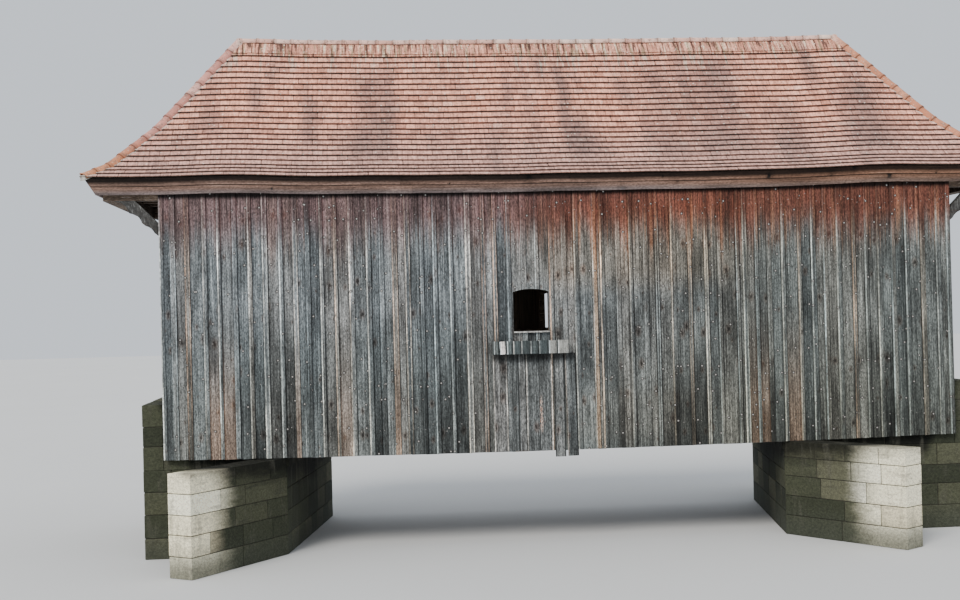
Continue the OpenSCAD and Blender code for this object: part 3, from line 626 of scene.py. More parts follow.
# Colours over a tone from 0 to 1, linear
boardPalette = ((0, (0.080, 0.085, 0.087)), (0.3, (0.125, 0.133, 0.134)), (0.6, (0.152, 0.155, 0.152)),
                (0.85, (0.155, 0.145, 0.135)), (1, (0.20, 0.196, 0.188)))
innerPalette = ((0, (0.07, 0.05, 0.036)), (1, (0.15, 0.11, 0.08)))
stripPalette = ((0, (0.092, 0.098, 0.10)), (0.4, (0.152, 0.158, 0.157)), (0.8, (0.18, 0.173, 0.163)),
                (0.97, (0.19, 0.17, 0.148)), (1, (0.50, 0.345, 0.24)))
edgePalette = ((0, (0.24, 0.25, 0.25)), (0.3, (0.60, 0.66, 0.67)), (0.55, (0.86, 0.82, 0.74)),
               (0.8, (0.82, 0.64, 0.50)), (1, (0.56, 0.34, 0.23)))
apronPalette = ((0, (0.066, 0.073, 0.073)), (0.5, (0.104, 0.11, 0.108)), (1, (0.17, 0.166, 0.158)))
stavePalette = ((0, (0.045, 0.056, 0.057)), (0.35, (0.075, 0.09, 0.09)), (0.65, (0.17, 0.175, 0.165)),
                (0.85, (0.36, 0.35, 0.32)), (1, (0.95, 0.88, 0.84)))
eavePalette = ((0, (0.185, 0.11, 0.083)), (0.5, (0.25, 0.155, 0.118)), (1, (0.31, 0.175, 0.125)))
framePalette = ((0.2, (0.06, 0.042, 0.03)), (0.5, (0.11, 0.077, 0.055)), (0.8, (0.17, 0.125, 0.09)))
greyPalette = ((0.2, (0.03, 0.03, 0.029)), (0.5, (0.065, 0.063, 0.059)), (0.8, (0.13, 0.122, 0.112)))
plankPalette = ((0, (0.12, 0.10, 0.08)), (0.5, (0.19, 0.16, 0.125)), (1, (0.27, 0.235, 0.19)))
sillPalette = ((0, (0.34, 0.33, 0.31)), (1, (0.50, 0.48, 0.45)))
tilePalette = ((0, (0.68, 0.29, 0.195)), (0.35, (0.87, 0.39, 0.268)), (0.8, (0.98, 0.455, 0.315)),
               (0.97, (1.0, 0.48, 0.335)), (1, (1.0, 0.55, 0.41)))
# The stone's dark colours, damp and in painted shade
shadedDampPalette = ((0, (0.024, 0.027, 0.017)), (0.5, (0.042, 0.046, 0.028)), (0.8, (0.068, 0.07, 0.043)),
               (1, (0.105, 0.103, 0.066)))
capPalettes = (((0, (0.74, 0.40, 0.30)), (0.6, (0.92, 0.57, 0.46)), (1, (0.96, 0.72, 0.60))),
               ((0, (0.60, 0.255, 0.20)), (0.7, (0.76, 0.35, 0.28)), (1, (0.82, 0.46, 0.38))),
               ((0, (0.56, 0.20, 0.095)), (1, (0.72, 0.32, 0.17))))
# The stone's pale colours, painted as sunlit
stonePalette = ((0, (0.70, 0.60, 0.40)), (0.5, (0.92, 0.84, 0.60)), (0.85, (1.0, 0.95, 0.72)),
                (1, (1.0, 0.97, 0.80)))
finishes = {
    "boards": woodFinish("slateBoards", "Z", boardPalette, stainsAndEaveShade=True, edged="dark", bite=1.5, silver=0.45),
    "strips": woodFinish("wornStripsWithLitEdges", "Z", stripPalette, stainsAndEaveShade=True, edged="worn", knots=0.5, bite=1.35),
    "apron": woodFinish("apronBoards", "Z", apronPalette, edged="worn", flaked=(-0.47, 2.15), bite=1.6,
                        dimmed=(2.98, 3.09)),
    "staves": woodFinish("boxStaves", "Z", stavePalette, edged="worn", knots=0.3, silver=0.2),
    "eaves": woodFinish("eaveBoards", "X", eavePalette, silver=0.15, eaveShadeAndWear=True, bite=0.9, knots=1.0),
    "endEaves": woodFinish("endEaveBoards", "Y", eavePalette, silver=0.15, eaveShadeAndWear=True, bite=0.9, knots=1.0),
    "greyZ": woodFinish("greyTimber", "Z", greyPalette, toned=False),
    "planks": woodFinish("wornPlanks", "Y", plankPalette),
    "frameX": woodFinish("frameTimberLong", "X", framePalette, toned=False),
    "frameY": woodFinish("frameTimberCross", "Y", framePalette, toned=False),
    "frameZ": woodFinish("frameTimberUp", "Z", framePalette, toned=False),
    "sill": woodFinish("paleSill", "X", sillPalette, toned=False, knots=0.2),
    "tiles": tileFinish(), "caps": capFinish(),
    "bedding": mortarFinish("beddingMortar", (0.34, 0.32, 0.28), (0.66, 0.64, 0.58)),
    "joints": mortarFinish("oldJoints", (0.014, 0.014, 0.011), (0.06, 0.056, 0.042)),
    "stone": stoneFinish(), "iron": ironFinish(), "floor": floorFinish(),
}
print("finishes made:", len(finishes))


# Roof tiles

slopes = {
    "front": {"turn": 0.0, "reach": roof["halfEave"], "half": roof["halfEnd"]},
    "right": {"turn": math.pi / 2, "reach": roof["halfEnd"], "half": roof["halfEave"]},
    "back": {"turn": math.pi, "reach": roof["halfEave"], "half": roof["halfEnd"]},
    "left": {"turn": -math.pi / 2, "reach": roof["halfEnd"], "half": roof["halfEave"]},
}
tiling = {
    "gauge": 0.138, "width": 0.165, "gap": 0.003, "length": 0.3, "thick": 0.016, "crown": 0.0015,
    "topCourse": 0.307, "topLap": 0.01, "topLift": 0.007, "turnJitter": 0.006, "seed": 11,
    # Rows for the soiling with painted shade, and where it starts, below the next course's foot
    "lip": 0.006, "lipDrop": 0.003, "dirtAndShadeRows": (0.044, 0.022), "dirtAndShade": 0.03,  # below the next course's foot
    "aside": 0.0015, "inward": 0.003, "raised": 0.002,  # how far a tile strays
    # Washed-down stains: middle, half width, lowest and highest reach on the slope, strength
    "stains": ((-5.79, 0.24, 0.9, 2.1, 0.4), (-5.12, 0.16, 1.4, 2.7, 0.5), (-4.17, 0.22, 0.7, 2.3, 0.35),
               (-3.1, 0.45, 0.3, 3.0, 0.5), (-1.83, 0.32, 0.8, 1.8, 0.35), (-0.79, 0.12, 1.6, 2.8, 0.35),
               (-0.11, 0.15, 2.2, 3.4, 0.6), (0.21, 0.17, 0.3, 3.2, 0.6), (0.38, 0.34, 0.2, 1.9, 0.6),
               (1.29, 0.2, 1.6, 2.8, 0.45), (1.95, 0.5, 0.2, 3.1, 0.4), (2.9, 0.8, 0.3, 3.2, 0.5),
               (4.1, 0.35, 0.2, 2.2, 0.45), (4.75, 0.22, 2.0, 3.4, 0.5), (5.5, 0.6, 0.3, 2.6, 0.5)),
    "stainFade": 0.5, "stainSway": 0.03, "stainWaves": 5,
}


def hipPlanes(slope):
    # The plumb planes of the two hips and of the ridge, facing out of this slope
    inset = slope["half"] - slope["reach"]
    planes = [((side * inset, 0, 0), (side, 1, 0)) for side in (-1, 1)]
    return planes + [((0, 0, 0), (0, 1, 0))] if inset > 0 else planes


def tileShape(name, gauge, length):
    wide = tiling["width"] - tiling["gap"]
    rows = (0, tiling["lip"], *(gauge - below for below in tiling["dirtAndShadeRows"]), length)

    def topZ(x, y):
        return tiling["thick"] - (tiling["lipDrop"] if y == 0 else 0) + (tiling["crown"] if x == 0 else 0)

    mesh = gridBox(name, (-wide / 2, 0, wide / 2), rows, topZ, lambda x, y: 0)
    # Soiling and painted shade on a tile's underside, at its foot, and just below and under the next course
    covered = gauge - tiling["dirtAndShade"]
    pointData(mesh, "grimeAndShade", [1.0 if v.co.z == 0 or v.co.y > covered else 0.7 if v.co.y == 0 else 0.0
                              for v in mesh.vertices])
    # How near a tile's side each point lies, for the painted shade in the gaps
    pointData(mesh, "rim", [abs(v.co.x) * 2 / wide for v in mesh.vertices])
    return mesh


def tileSpots(slope, edges, chance, lift):
    spots = []
    for index, (low, nextUp) in enumerate(edges):
        start, pitch = slopeAt(low)
        end, endPitch = slopeAt(nextUp)
        start = start + (roof["tileTop"] + lift) * outOfPitch(pitch)
        end = end + roof["tileBase"] * outOfPitch(endPitch)
        tilt = math.atan2(end[1] - start[1], end[0] - start[0])
        foot = start - tiling["thick"] * outOfPitch(tilt)
        widest = slope["half"] - start[0] + tiling["width"]
        count = int(widest / tiling["width"]) + 2
        for i in range(-count, count + 1):
            across = (i + (0.5 if index % 2 else 0)) * tiling["width"]
            if abs(across) <= widest:
                place = (across + chance.normal(0, tiling["aside"]),
                         foot[0] - slope["reach"] + abs(chance.normal(0, tiling["inward"])),
                         foot[1] + chance.uniform(0, tiling["raised"]))
                spots.append(spot(place, (tilt, 0, 0), tone=chance.random(),
                                  mark=(across + roof["turnMark"] * slope["turn"], low, 0)))
    return spots


def stainTiles(mesh, side):
    # How stained each point is, from the washed-down stains
    count = len(mesh.vertices)
    places, marks = np.empty(count * 3), np.empty(count * 3)
    mesh.vertices.foreach_get("co", places)
    mesh.attributes["mark"].data.foreach_get("vector", marks)
    x, up = places[::3] * (1 if side in ("front", "left") else -1), marks[1::3]
    stain, fade = np.zeros(count), tiling["stainFade"]
    for middle, half, low, high, strength in tiling["stains"]:
        sway = tiling["stainSway"] * np.sin(tiling["stainWaves"] * up + middle)
        across = np.clip(1 - ((x - middle + sway) / half) ** 2, 0, 1)
        along = np.clip((up - low) / fade, 0, 1) * np.clip((high - up) / fade, 0, 1)
        stain = np.maximum(stain, strength * across * along)
    pointData(mesh, "stain", stain)


def buildTiles(side):
    slope = slopes[side]
    chance = np.random.default_rng(tiling["seed"] + len(side) * 7 + ord(side[0]))
    gauge, top = tiling["gauge"], slopeLength - tiling["topCourse"]
    regular = [(k * gauge, (k + 1) * gauge) for k in range(int(top / gauge) + 1)]
    parts = []
    for label, gauge, length, edges, lift in (
            ("plain", gauge, tiling["length"], regular, 0.0),
            ("top", tiling["topCourse"], tiling["topCourse"] + tiling["topLap"], [(top, slopeLength)],
             tiling["topLift"])):
        parts.append(placeCopies(side + label, tileSpots(slope, edges, chance, lift),
                                 tileShape(side + label, gauge, length), "tiles", tiling["turnJitter"],
                                 seed=tiling["seed"]))
    piece = joinMeshes(parts, side + "TileCourses")
    cutAway(piece.data, hipPlanes(slope))
    stainTiles(piece.data, side)
    turnMesh(piece.data, slope["turn"])
    settleMesh(piece.data)
    finishPiece(piece, "tiles", "roof_tiles", side + "_tiles")
    print("tiles:", side, len(piece.data.polygons))


for side in slopes:
    buildTiles(side)


# Ridge and hip tiles on their mortar

capping = {
    "ridgeRadius": 0.072, "hipRadius": 0.096, "ridgeLift": 0.028, "taper": 0.012, "shown": 0.3,
    "lap": 0.05, "wall": 0.014, "collar": 0.008, "collarLength": 0.04, "collarEnd": (0.006, 0.03),
    "sides": 12, "turnJitter": 0.008, "hipTrim": 0.02, "ridgeTrim": 0.05, "seed": 5,
    "skirts": {"ridge": 32.0, "main": 26.0, "mid": 18.0, "low": 6.0},  # arc past the half-round, degrees
    # Soiling and painted shade at each ring of a cap
    "dirtAndShade": (0.75, 0.0, 0.3, 0.0, 0.0),  # from the foot up, at each ring of the tile
    # The mortar beds' half width, lower and upper side, and the plug's start and end up from the eave
    "hipBed": (0.06, -0.03, 0.03), "plugBed": (0.058, -0.03, 0.055), "ridgeBed": (0.04, -0.05, 0.02),
    "plug": (0.012, 0.2), "bedStep": 0.12, "bedRough": 0.006, "bedPaces": (1.7, 3.1, 50),
}


def capShape(name, radius, length, skirt):
    # Rounded tile with a collar at its foot, running up along Y
    foot, slim = capping["collarLength"], radius - capping["collar"]
    profile = [(0, radius), (foot, radius), *((foot + past, slim) for past in capping["collarEnd"]),
               (length, radius - capping["taper"])]
    skirt = math.radians(skirt)
    turns = np.linspace(-skirt, math.pi + skirt, capping["sides"] + 1)
    places = [(-(r - inner) * math.cos(t), y, (r - inner) * math.sin(t))
              for inner in (0, capping["wall"]) for y, r in profile for t in turns]
    n, m = len(profile), len(turns)
    lift = n * m
    faces = []
    for j in range(n - 1):
        for a in range(j * m, j * m + m - 1):
            b = a + lift
            faces += [(a, a + m, a + m + 1, a + 1), (b, b + 1, b + m + 1, b + m)]
        faces += [(a, a + lift, a + lift + m, a + m) for a in (j * m, j * m + m - 1)]
    for j in (0, n - 1):
        faces += [(a, a + 1, a + lift + 1, a + lift) for a in range(j * m, j * m + m - 1)]
    mesh = meshFrom(name, places, faces)
    fixNormals(mesh)
    # Soiling and painted shade also along both lower edges
    pointData(mesh, "grimeAndShade", [1.0 if index % m in (0, m - 1) else capping["dirtAndShade"][index // m % n]
                              for index in range(len(places))])
    return mesh


def capRow(start, end, chance):
    # Caps from start up to end, as many as fit their shown length
    run = end - start
    turn = (math.atan2(run.z, math.hypot(run.x, run.y)), 0, math.atan2(-run.x, run.y))
    count = max(1, round(run.length / capping["shown"]))
    size = (1, run.length / count / capping["shown"], 1)
    return [spot(start + run * (i / count), turn, size, chance.random()) for i in range(count)]


def layBed(name, points, section):
    # A rough mortar bed that follows a line
    halfWidth, low, high = section
    paceAlong, paceAcross, paceUp = capping["bedPaces"]
    stations = []
    for start, end in zip(points[:-1], points[1:]):
        count = max(1, int((end - start).length / capping["bedStep"]))
        stations += [(start + (end - start) * (i / count), end - start) for i in range(count)]
    stations.append((points[-1], points[-1] - points[-2]))
    rings = []
    for index, (place, run) in enumerate(stations):
        across = Vector((run.y, -run.x, 0)).normalized()
        upward = across.cross(run).normalized()
        if upward.z < 0:
            upward = -upward
        rings.append([])
        for sideways, height in ((-1, low), (1, low), (1, high), (-1, high)):
            rough = noise.noise(Vector((index * paceAlong, sideways * paceAcross, height * paceUp)))
            rough *= capping["bedRough"]
            rings[-1].append(place + across * sideways * (halfWidth + rough) + upward * height)
    return addObject(name, solids(name, [rings]))


def edgePlanes(axis, reach):
    # Two plumb planes across an axis, this far out on either side
    unit = np.eye(3)[axis]
    return [(tuple(side * reach * unit), tuple(side * unit)) for side in (-1, 1)]


def buildCaps():
    chance = np.random.default_rng(capping["seed"])
    rows = {"main": [], "mid": [], "low": []}
    beds = []
    for sideX in (-1, 1):
        for sideY in (-1, 1):
            line = [Vector((sideX * (roof["halfEnd"] - p[0]), sideY * (roof["halfEave"] - p[0]), p[1]))
                    for p in (eavePoint, lowKink, midKink, peakPoint)]
            for label, start, end in zip(("low", "mid", "main"), line[:-1], line[1:]):
                rows[label] += capRow(start, end, chance)
            lead = (line[1] - line[0]).normalized()
            near, far = (line[0] + lead * up for up in capping["plug"])
            beds.append(layBed("bed", [far] + line[1:], capping["hipBed"]))
            beds.append(layBed("plug", [near, far], capping["plugBed"]))
    ends = [Vector((side * ridgeHalf, 0, peakZ + capping["ridgeLift"])) for side in (-1, 1)]
    rows["ridge"] = capRow(*ends, chance)
    beds.append(layBed("bed", ends, capping["ridgeBed"]))
    hipEdges = [*edgePlanes(0, roof["halfEnd"] + capping["hipTrim"]),
                *edgePlanes(1, roof["halfEave"] + capping["hipTrim"])]
    for kind, labels, edges in (("hip", ("main", "mid", "low"), hipEdges),
                                ("ridge", ("ridge",), edgePlanes(0, ridgeHalf + capping["ridgeTrim"]))):
        parts = []
        for label in labels:
            shape = capShape(label + "Cap", capping[kind + "Radius"], capping["shown"] + capping["lap"],
                             capping["skirts"][label])
            parts.append(placeCopies(label + "Caps", rows[label], shape, "caps", capping["turnJitter"],
                                     seed=capping["seed"]))
        piece = joinMeshes(parts, kind + "TileRow")
        cutAway(piece.data, edges)
        settleMesh(piece.data)
        piece.data.polygons.foreach_set("use_smooth", [True] * len(piece.data.polygons))
        finishPiece(piece, "caps", "cap_tiles", kind + "_caps")
    bed = joinMeshes(beds, "capBedding")
    cutAway(bed.data, hipEdges)
    settleMesh(bed.data)
    finishPiece(bed, "bedding", "cap_tiles")


buildCaps()
print("ridge and hip tiles laid")


# Battens: a merged copy of the CAD node, cut across X so that it can bend with the settled tiles

battenStep = 0.75
battens = addObject("settledBattens", cadNodes["roof_battens"].data.copy())
battens.data.name = "settledBattens"
battenLow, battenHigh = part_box("roof_battens")
with editing(battens.data) as shape:
    bmesh.ops.remove_doubles(shape, verts=shape.verts, dist=1e-5)
    bmesh.ops.dissolve_limit(shape, angle_limit=0.001, verts=shape.verts, edges=shape.edges)
    for x in np.arange(math.ceil(battenLow.x / battenStep) * battenStep, battenHigh.x, battenStep):
        bisect(shape, (x, 0, 0), (1, 0, 0))
settleMesh(battens.data)
finishPiece(battens, "frameX", "frame_timber", "roof_battens")
print("battens settled")


# Eave boards: two boards high, in lengths, mitred at the hips

eaveBoards = {
    "inset": 0.04, "width": 0.3, "thick": 0.028, "gap": 0.003, "shortest": 4.2, "longest": 5.6, "seed": 21,
    "topDown": 0.002, "past": 0.1, "proud": 0.004, "round": 0.004, "bow": 0.0015, "bowPace": 2.3,
    "step": 0.3, "tones": (0.3, 0.75),
}


def buildEaveBoards(side):
    slope, width = slopes[side], eaveBoards["width"]
    chance = np.random.default_rng(eaveBoards["seed"] + ord(side[0]))
    outer, pitch = slopeAt(eaveBoards["inset"])
    inward, down = alongPitch(pitch), -outOfPitch(pitch)
    reach = slope["half"] + eaveBoards["past"]
    parts = []
    for row, (high, low) in enumerate(((eaveBoards["topDown"], width / 2 - eaveBoards["gap"]),
                                       (width / 2 + eaveBoards["gap"], width))):
        start = -reach
        while start < reach:
            end = start + chance.uniform(eaveBoards["shortest"], eaveBoards["longest"])
            proud = chance.uniform(0, eaveBoards["proud"])
            section = ((high, proud), (low - eaveBoards["round"], proud), (low, proud + eaveBoards["round"]),
                       (low, eaveBoards["thick"]), (high, eaveBoards["thick"]))
            spans = max(2, int((end - start) / eaveBoards["step"]))
            stations = np.linspace(start, end - eaveBoards["gap"], spans + 1)
            rings = []
            for x in stations:
                bow = eaveBoards["bow"] * math.sin(x * eaveBoards["bowPace"] + row)
                points = [outer + (downBy + bow) * down + inBy * inward for downBy, inBy in section]
                rings.append([(x, point[0] - slope["reach"], point[1]) for point in points])
            mesh = solids("eaveBoard", [rings])
            pointData(mesh, "tone", [chance.uniform(*eaveBoards["tones"])] * len(mesh.vertices))
            pointData(mesh, "rise", [1 - downBy / width for downBy, _ in section] * len(stations))
            parts.append(addObject("eaveBoard", mesh))
            start = end
    piece = joinMeshes(parts, side + "EaveBoards")
    cutAway(piece.data, hipPlanes(slope)[:2])
    turnMesh(piece.data, slope["turn"])
    settleMesh(piece.data)
    return piece


for side in ("front", "back"):
    finishPiece(buildEaveBoards(side), "eaves", "eave_boards", side + "_fascia")
endEaves = joinMeshes([buildEaveBoards("left"), buildEaveBoards("right")], "endEaveBoards")
finishPiece(endEaves, "endEaves", "eave_boards", "end_fascias")
print("eave boards hung")


# Wall boards, cover strips and nails

walls = {
    "narrowest": 0.19, "widest": 0.29, "stripNarrow": 0.05, "stripWide": 0.085, "gap": 0.004,
    "sag": 0.05, "ragged": 0.008, "windowWidth": 0.59, "windowHeight": 0.675, "windowRise": 0.044,
    "frontWindow": -0.595, "backWindow": 0.485, "seed": 31, "boardProud": 0.003, "stripProud": 0.004,
    "stripLift": 0.004, "nearHead": 0.002, "warp": 0.0025, "warpPace": (5.3, 0.9), "warpFrom": 0.1,
    "warpTo": 0.05,  # the warp stays clear of the feet and the tops by these
    # How strong the edge marks are: limits for a board's left and right (painted shade beside the strips),
    # choices for a strip's (pale worn edges with painted highlight)
    "boardEdges": ((0.7, 1.0), (0.2, 0.8)), "stripLeft": (0.4, 0.8, 1.0, 1.0), "stripRight": (0.0, 0.0, 0.5),
    "paleStrips": ((-4.67, 0.47), (-0.25, 0.68), (0.48, 0.99), (2.9, 0.7)),  # that stand out: place and tone
    "nailRows": (1.96, 2.75, 3.43, 4.33, 4.95, 5.55), "nailSides": 7, "nailJitter": 0.2, "nailSink": 0.0012,
    "nailSeed": 6, "nailSection": ((0.007, 0), (0.005, -0.0025)),  # radius and depth of each ring
    # Nails in the strips and beside them, spread in X and Z, and clear of the window between two heights
    "stripSpread": (0.008, 0.04), "boardSpread": (0.02, 0.05), "nailAside": 0.12,
    "stripClear": 0.03, "boardClear": 0.05, "windowNails": (3.45, 4.3),
}
windowHalf = walls["windowWidth"] / 2
windowHead = bridge["sillZ"] + walls["windowHeight"]


def boardShape(name, columns=4, rows=8):
    # Unit board: one wide in X, one thick in Y inward from its outer face, one high in Z
    mesh = gridBox(name, np.linspace(-0.5, 0.5, columns + 1), np.linspace(0, 1, rows + 1),
                   lambda x, y: 0.0, lambda x, y: -1.0)
    turnMesh(mesh, math.pi / 2, "X")
    pointData(mesh, "across", [v.co.x + 0.5 for v in mesh.vertices])
    return mesh


def archZ(x, middle):
    rise = walls["windowRise"]
    radius = (windowHalf ** 2 + rise ** 2) / (2 * rise)
    return windowHead + rise - radius + math.sqrt(max(radius ** 2 - (x - middle) ** 2, 0))


def wallFoot(x, chance, lift):
    drop = walls["sag"] * max(0.0, 1 - (x / bridge["halfLength"]) ** 2)
    return bridge["boardsLow"] - drop - chance.uniform(0, walls["ragged"]) + lift


def uprightSpots(left, right, outerY, thick, foot, window, tone, edges):
    # One upright, cut where it crosses the window; edges are its strengths at the left and the right
    opening, top = (window - windowHalf, window + windowHalf), bridge["boardsTop"]
    cuts = [left] + [x for x in opening if left < x < right] + [right]
    spots = []
    for a, b in zip(cuts[:-1], cuts[1:]):
        middle, wide = (a + b) / 2, b - a
        mark = (edges[0] if a == left else 0, edges[1] if b == right else 0, wide)
        cut = opening[0] < middle < opening[1]
        for low, high in ((foot, bridge["sillZ"]), (windowHead, top)) if cut else ((foot, top),):
            spots.append(spot((middle, outerY, low), size=(wide, thick, high - low), tone=tone, mark=mark))
    return spots


def shapeHead(mesh, window):
    # Bends the lower ends above the window into its arch, and warps the boards a little
    paceX, paceZ = walls["warpPace"]
    for vert in mesh.vertices:
        x, z = vert.co.x, vert.co.z
        if abs(z - windowHead) < walls["nearHead"] and abs(x - window) < windowHalf + walls["gap"]:
            vert.co.z = archZ(x, window)
        elif bridge["boardsLow"] + walls["warpFrom"] < z < bridge["boardsTop"] - walls["warpTo"]:
            vert.co.y += walls["warp"] * noise.noise(Vector((x * paceX, 0, z * paceZ)))


def nailShape():
    turns = [math.tau * i / walls["nailSides"] for i in range(walls["nailSides"])]
    return solids("nailHead", [[[(radius * math.cos(t), y, radius * math.sin(t)) for t in turns]
                                for radius, y in walls["nailSection"]]])


def nailSpot(x, face, z, spread, chance):
    return spot((x + chance.normal(0, spread[0]), walls["nailSink"] - face, z + chance.normal(0, spread[1])))


def buildWall(label, window, turn):
    chance = np.random.default_rng(walls["seed"] + len(label))
    half = bridge["halfLength"]
    joints = [-half]
    while joints[-1] < half:
        joints.append(joints[-1] + chance.uniform(walls["narrowest"], walls["widest"]))
    joints = [-half + (j + half) * 2 * half / (joints[-1] + half) for j in joints]
    pale = {}
    for x, tone in walls["paleStrips"]:
        nearest = min(range(1, len(joints) - 1), key=lambda i: abs(joints[i] - x))
        joints[nearest], pale[nearest] = x, tone
    boards, strips, nails = [], [], []
    for x0, x1 in zip(joints[:-1], joints[1:]):
        foot = wallFoot((x0 + x1) / 2, chance, 0)
        boards += uprightSpots(x0 + walls["gap"] / 2, x1 - walls["gap"] / 2,
                               -boardFace + chance.uniform(0, walls["boardProud"]),
                               bridge["boardThick"] - walls["boardProud"], foot, window, chance.random(),
                               [chance.uniform(*limits) for limits in walls["boardEdges"]])
    for index, x in enumerate(joints):
        wide = chance.uniform(walls["stripNarrow"], walls["stripWide"])
        middle = min(max(x, -half + wide / 2), half - wide / 2)
        tone, worn = chance.random(), chance.choice(walls["stripLeft"])
        if index in pale:
            tone, worn = pale[index], 1.0
        foot = wallFoot(middle, chance, walls["stripLift"])
        strips += uprightSpots(middle - wide / 2, middle + wide / 2,
                               -stripFace + chance.uniform(0, walls["stripProud"]), bridge["stripThick"],
                               foot, window, tone, (worn, chance.choice(walls["stripRight"])))
        low, high = walls["windowNails"]
        beside = middle + walls["nailAside"]
        for z in walls["nailRows"]:
            if abs(middle - window) > windowHalf + walls["stripClear"] or not low <= z <= high:
                nails.append(nailSpot(middle, stripFace, z, walls["stripSpread"], chance))
            if index < len(joints) - 1 and abs(beside - window) > windowHalf + walls["boardClear"]:
                nails.append(nailSpot(beside, boardFace, z, walls["boardSpread"], chance))
    for name, spots, nodeName in (("Boards", boards, "_boarding"), ("Strips", strips, "_cover_strips")):
        piece = placeCopies(label + name, spots, boardShape(label + name + "Shape"), name.lower())
        shapeHead(piece.data, window)
        turnMesh(piece.data, turn)
        finishPiece(piece, name.lower(), "wall_boards", label + nodeName)
    nailed = placeCopies(label + "Nails", nails, nailShape(), "iron", sizeJitter=walls["nailJitter"],
                         seed=walls["nailSeed"])
    turnMesh(nailed.data, turn)
    finishPiece(nailed, "iron", "wall_boards")


buildWall("front", walls["frontWindow"], 0.0)
buildWall("back", -walls["backWindow"], math.pi)
print("walls boarded")


# Flower box and the patch of boards under it

flowerBox = {
    "left": -1.251, "length": 1.245, "low": 3.153, "height": 0.22, "depth": 0.2, "wall": 0.022, "seed": 41,
    # The staves' edge marks, left and right: pale is worn wood with painted highlight, below 0 painted shade in
    # the gaps
    "spare": 0.008, "ragged": 0.008, "tilt": 0.004, "edges": (0.9, -0.6), "thirdEdge": 0.5,
    # Start, end and tone of each stave, and the spare width, shift and tilt of the one that came loose
    "staves": ((0.0, 0.085, 0.46), (0.095, 0.2, 1.0), (0.215, 0.31, 0.32), (0.317, 0.445, 0.07),
               (0.45, 0.59, 0.2), (0.597, 0.735, 0.19), (0.741, 0.895, 0.05), (0.905, 1.045, 0.72),
               (1.055, 1.245, 0.74)),
    "loose": 1, "looseSpare": 0.014, "looseShift": 0.006, "looseTilt": -0.06,
    # How far the staves and the inner boards stay within the box's outline
    "staveIn": 0.001, "endIn": 0.002, "behind": 0.012, "floorIn": 0.024, "lessDeep": 0.026,
    "lessLong": 0.05, "lower": (0.01, 0.012, 0.015),
}
apron = {
    "thick": 0.025, "top": 3.149, "seed": 43, "proud": 0.002,
    # Left and right edge, foot, tone, the marks on the two edges (pale: worn wood with painted highlight; below
    # 0: painted shade in the gaps), and the lean
    "boards": ((0, 0.227, -0.04, 0.9, (0.5, 0.8), 0.0), (0.232, 0.417, -0.038, 0.3, (0.0, -0.7), 0.001),
               (0.422, 0.537, -0.042, 0.72, (0.2, -0.9), 0.0), (0.542, 0.757, -0.04, 0.35, (0.9, -0.6), -0.001),
               (0.762, 0.972, -0.044, 0.5, (0.0, 0.9), 0.0), (1.005, 1.175, -0.155, 0.6, (-0.9, -0.9), 0.0),
               (1.214, 1.388, -0.148, 0.1, (0.2, -0.9), -0.016)),
}


def buildFlowerBox():
    box = flowerBox
    chance = np.random.default_rng(box["seed"])
    left, low, height, depth, wall = (box[key] for key in ("left", "low", "height", "depth", "wall"))
    outer, middle, right = -stripFace - box["depth"], left + box["length"] / 2, left + box["length"]
    spots = []
    for i, (start, end, tone) in enumerate(box["staves"]):
        loose = i == box["loose"]
        short = chance.uniform(0, box["ragged"])
        wide = end - start - (box["looseSpare"] if loose else box["spare"])
        tilt = box["looseTilt"] if loose else chance.normal(0, box["tilt"])
        x = left + (start + end) / 2 + (box["looseShift"] if loose else 0)
        size = (wide, wall - box["endIn"], height - short - chance.uniform(0, box["ragged"]))
        edge = box["edges"][0] if i % 3 else box["thirdEdge"]
        spots.append(spot((x, outer + box["staveIn"], low + short), (0, tilt, 0), size, tone,
                          (edge, box["edges"][1], wide)))
    # Two ends, back and bottom
    for side, x, lower, tone in ((-1, left + box["endIn"], box["lower"][0], 0.3),
                                 (1, right - box["endIn"], box["lower"][1], 0.4)):
        spots.append(spot((x, outer + depth / 2 + box["behind"], low), (0, 0, side * math.pi / 2),
                          (depth - box["lessDeep"], wall, height - lower), tone))
    # The back and the bottom take the darkest tone, painted shade inside the box
    inner = box["length"] - box["lessLong"]
    spots.append(spot((middle, -stripFace - wall, low), (0, 0, 0),
                      (inner, wall - box["staveIn"], height - box["lower"][2]), 0.0))
    spots.append(spot((middle, outer + box["floorIn"], low + wall), (-math.pi / 2, 0, 0),
                      (inner, wall, depth - box["lessLong"]), 0.0))
    piece = placeCopies("flowerBoxStaves", spots, boardShape("stave", 2, 3), "staves")
    finishPiece(piece, "staves", "grey_timber", "flower_box")


def buildApron():
    chance = np.random.default_rng(apron["seed"])
    spots = []
    for left, right, low, tone, worn, lean in apron["boards"]:
        foot, wide = bridge["boardsLow"] + low, right - left
        spots.append(spot((flowerBox["left"] + (left + right) / 2,
                           -stripFace - apron["thick"] + chance.uniform(0, apron["proud"]), foot), (0, lean, 0),
                          (wide, apron["thick"] - apron["proud"], apron["top"] - foot), tone, (*worn, wide)))
    piece = placeCopies("apronPatch", spots, boardShape("apronBoard"), "apron")
    finishPiece(piece, "apron", "wall_boards", "apron_boards")


buildFlowerBox()
buildApron()
print("flower box and apron made")


# Deck planks

decking = {
    "plank": 0.2, "gap": 0.006, "halfWidth": 1.86, "ragged": 0.004, "seed": 51,
    "columns": (-0.5, -0.46, 0, 0.46, 0.5), "edgeTop": 0.96, "wornTop": 0.985,  # heights of a plank one high
}


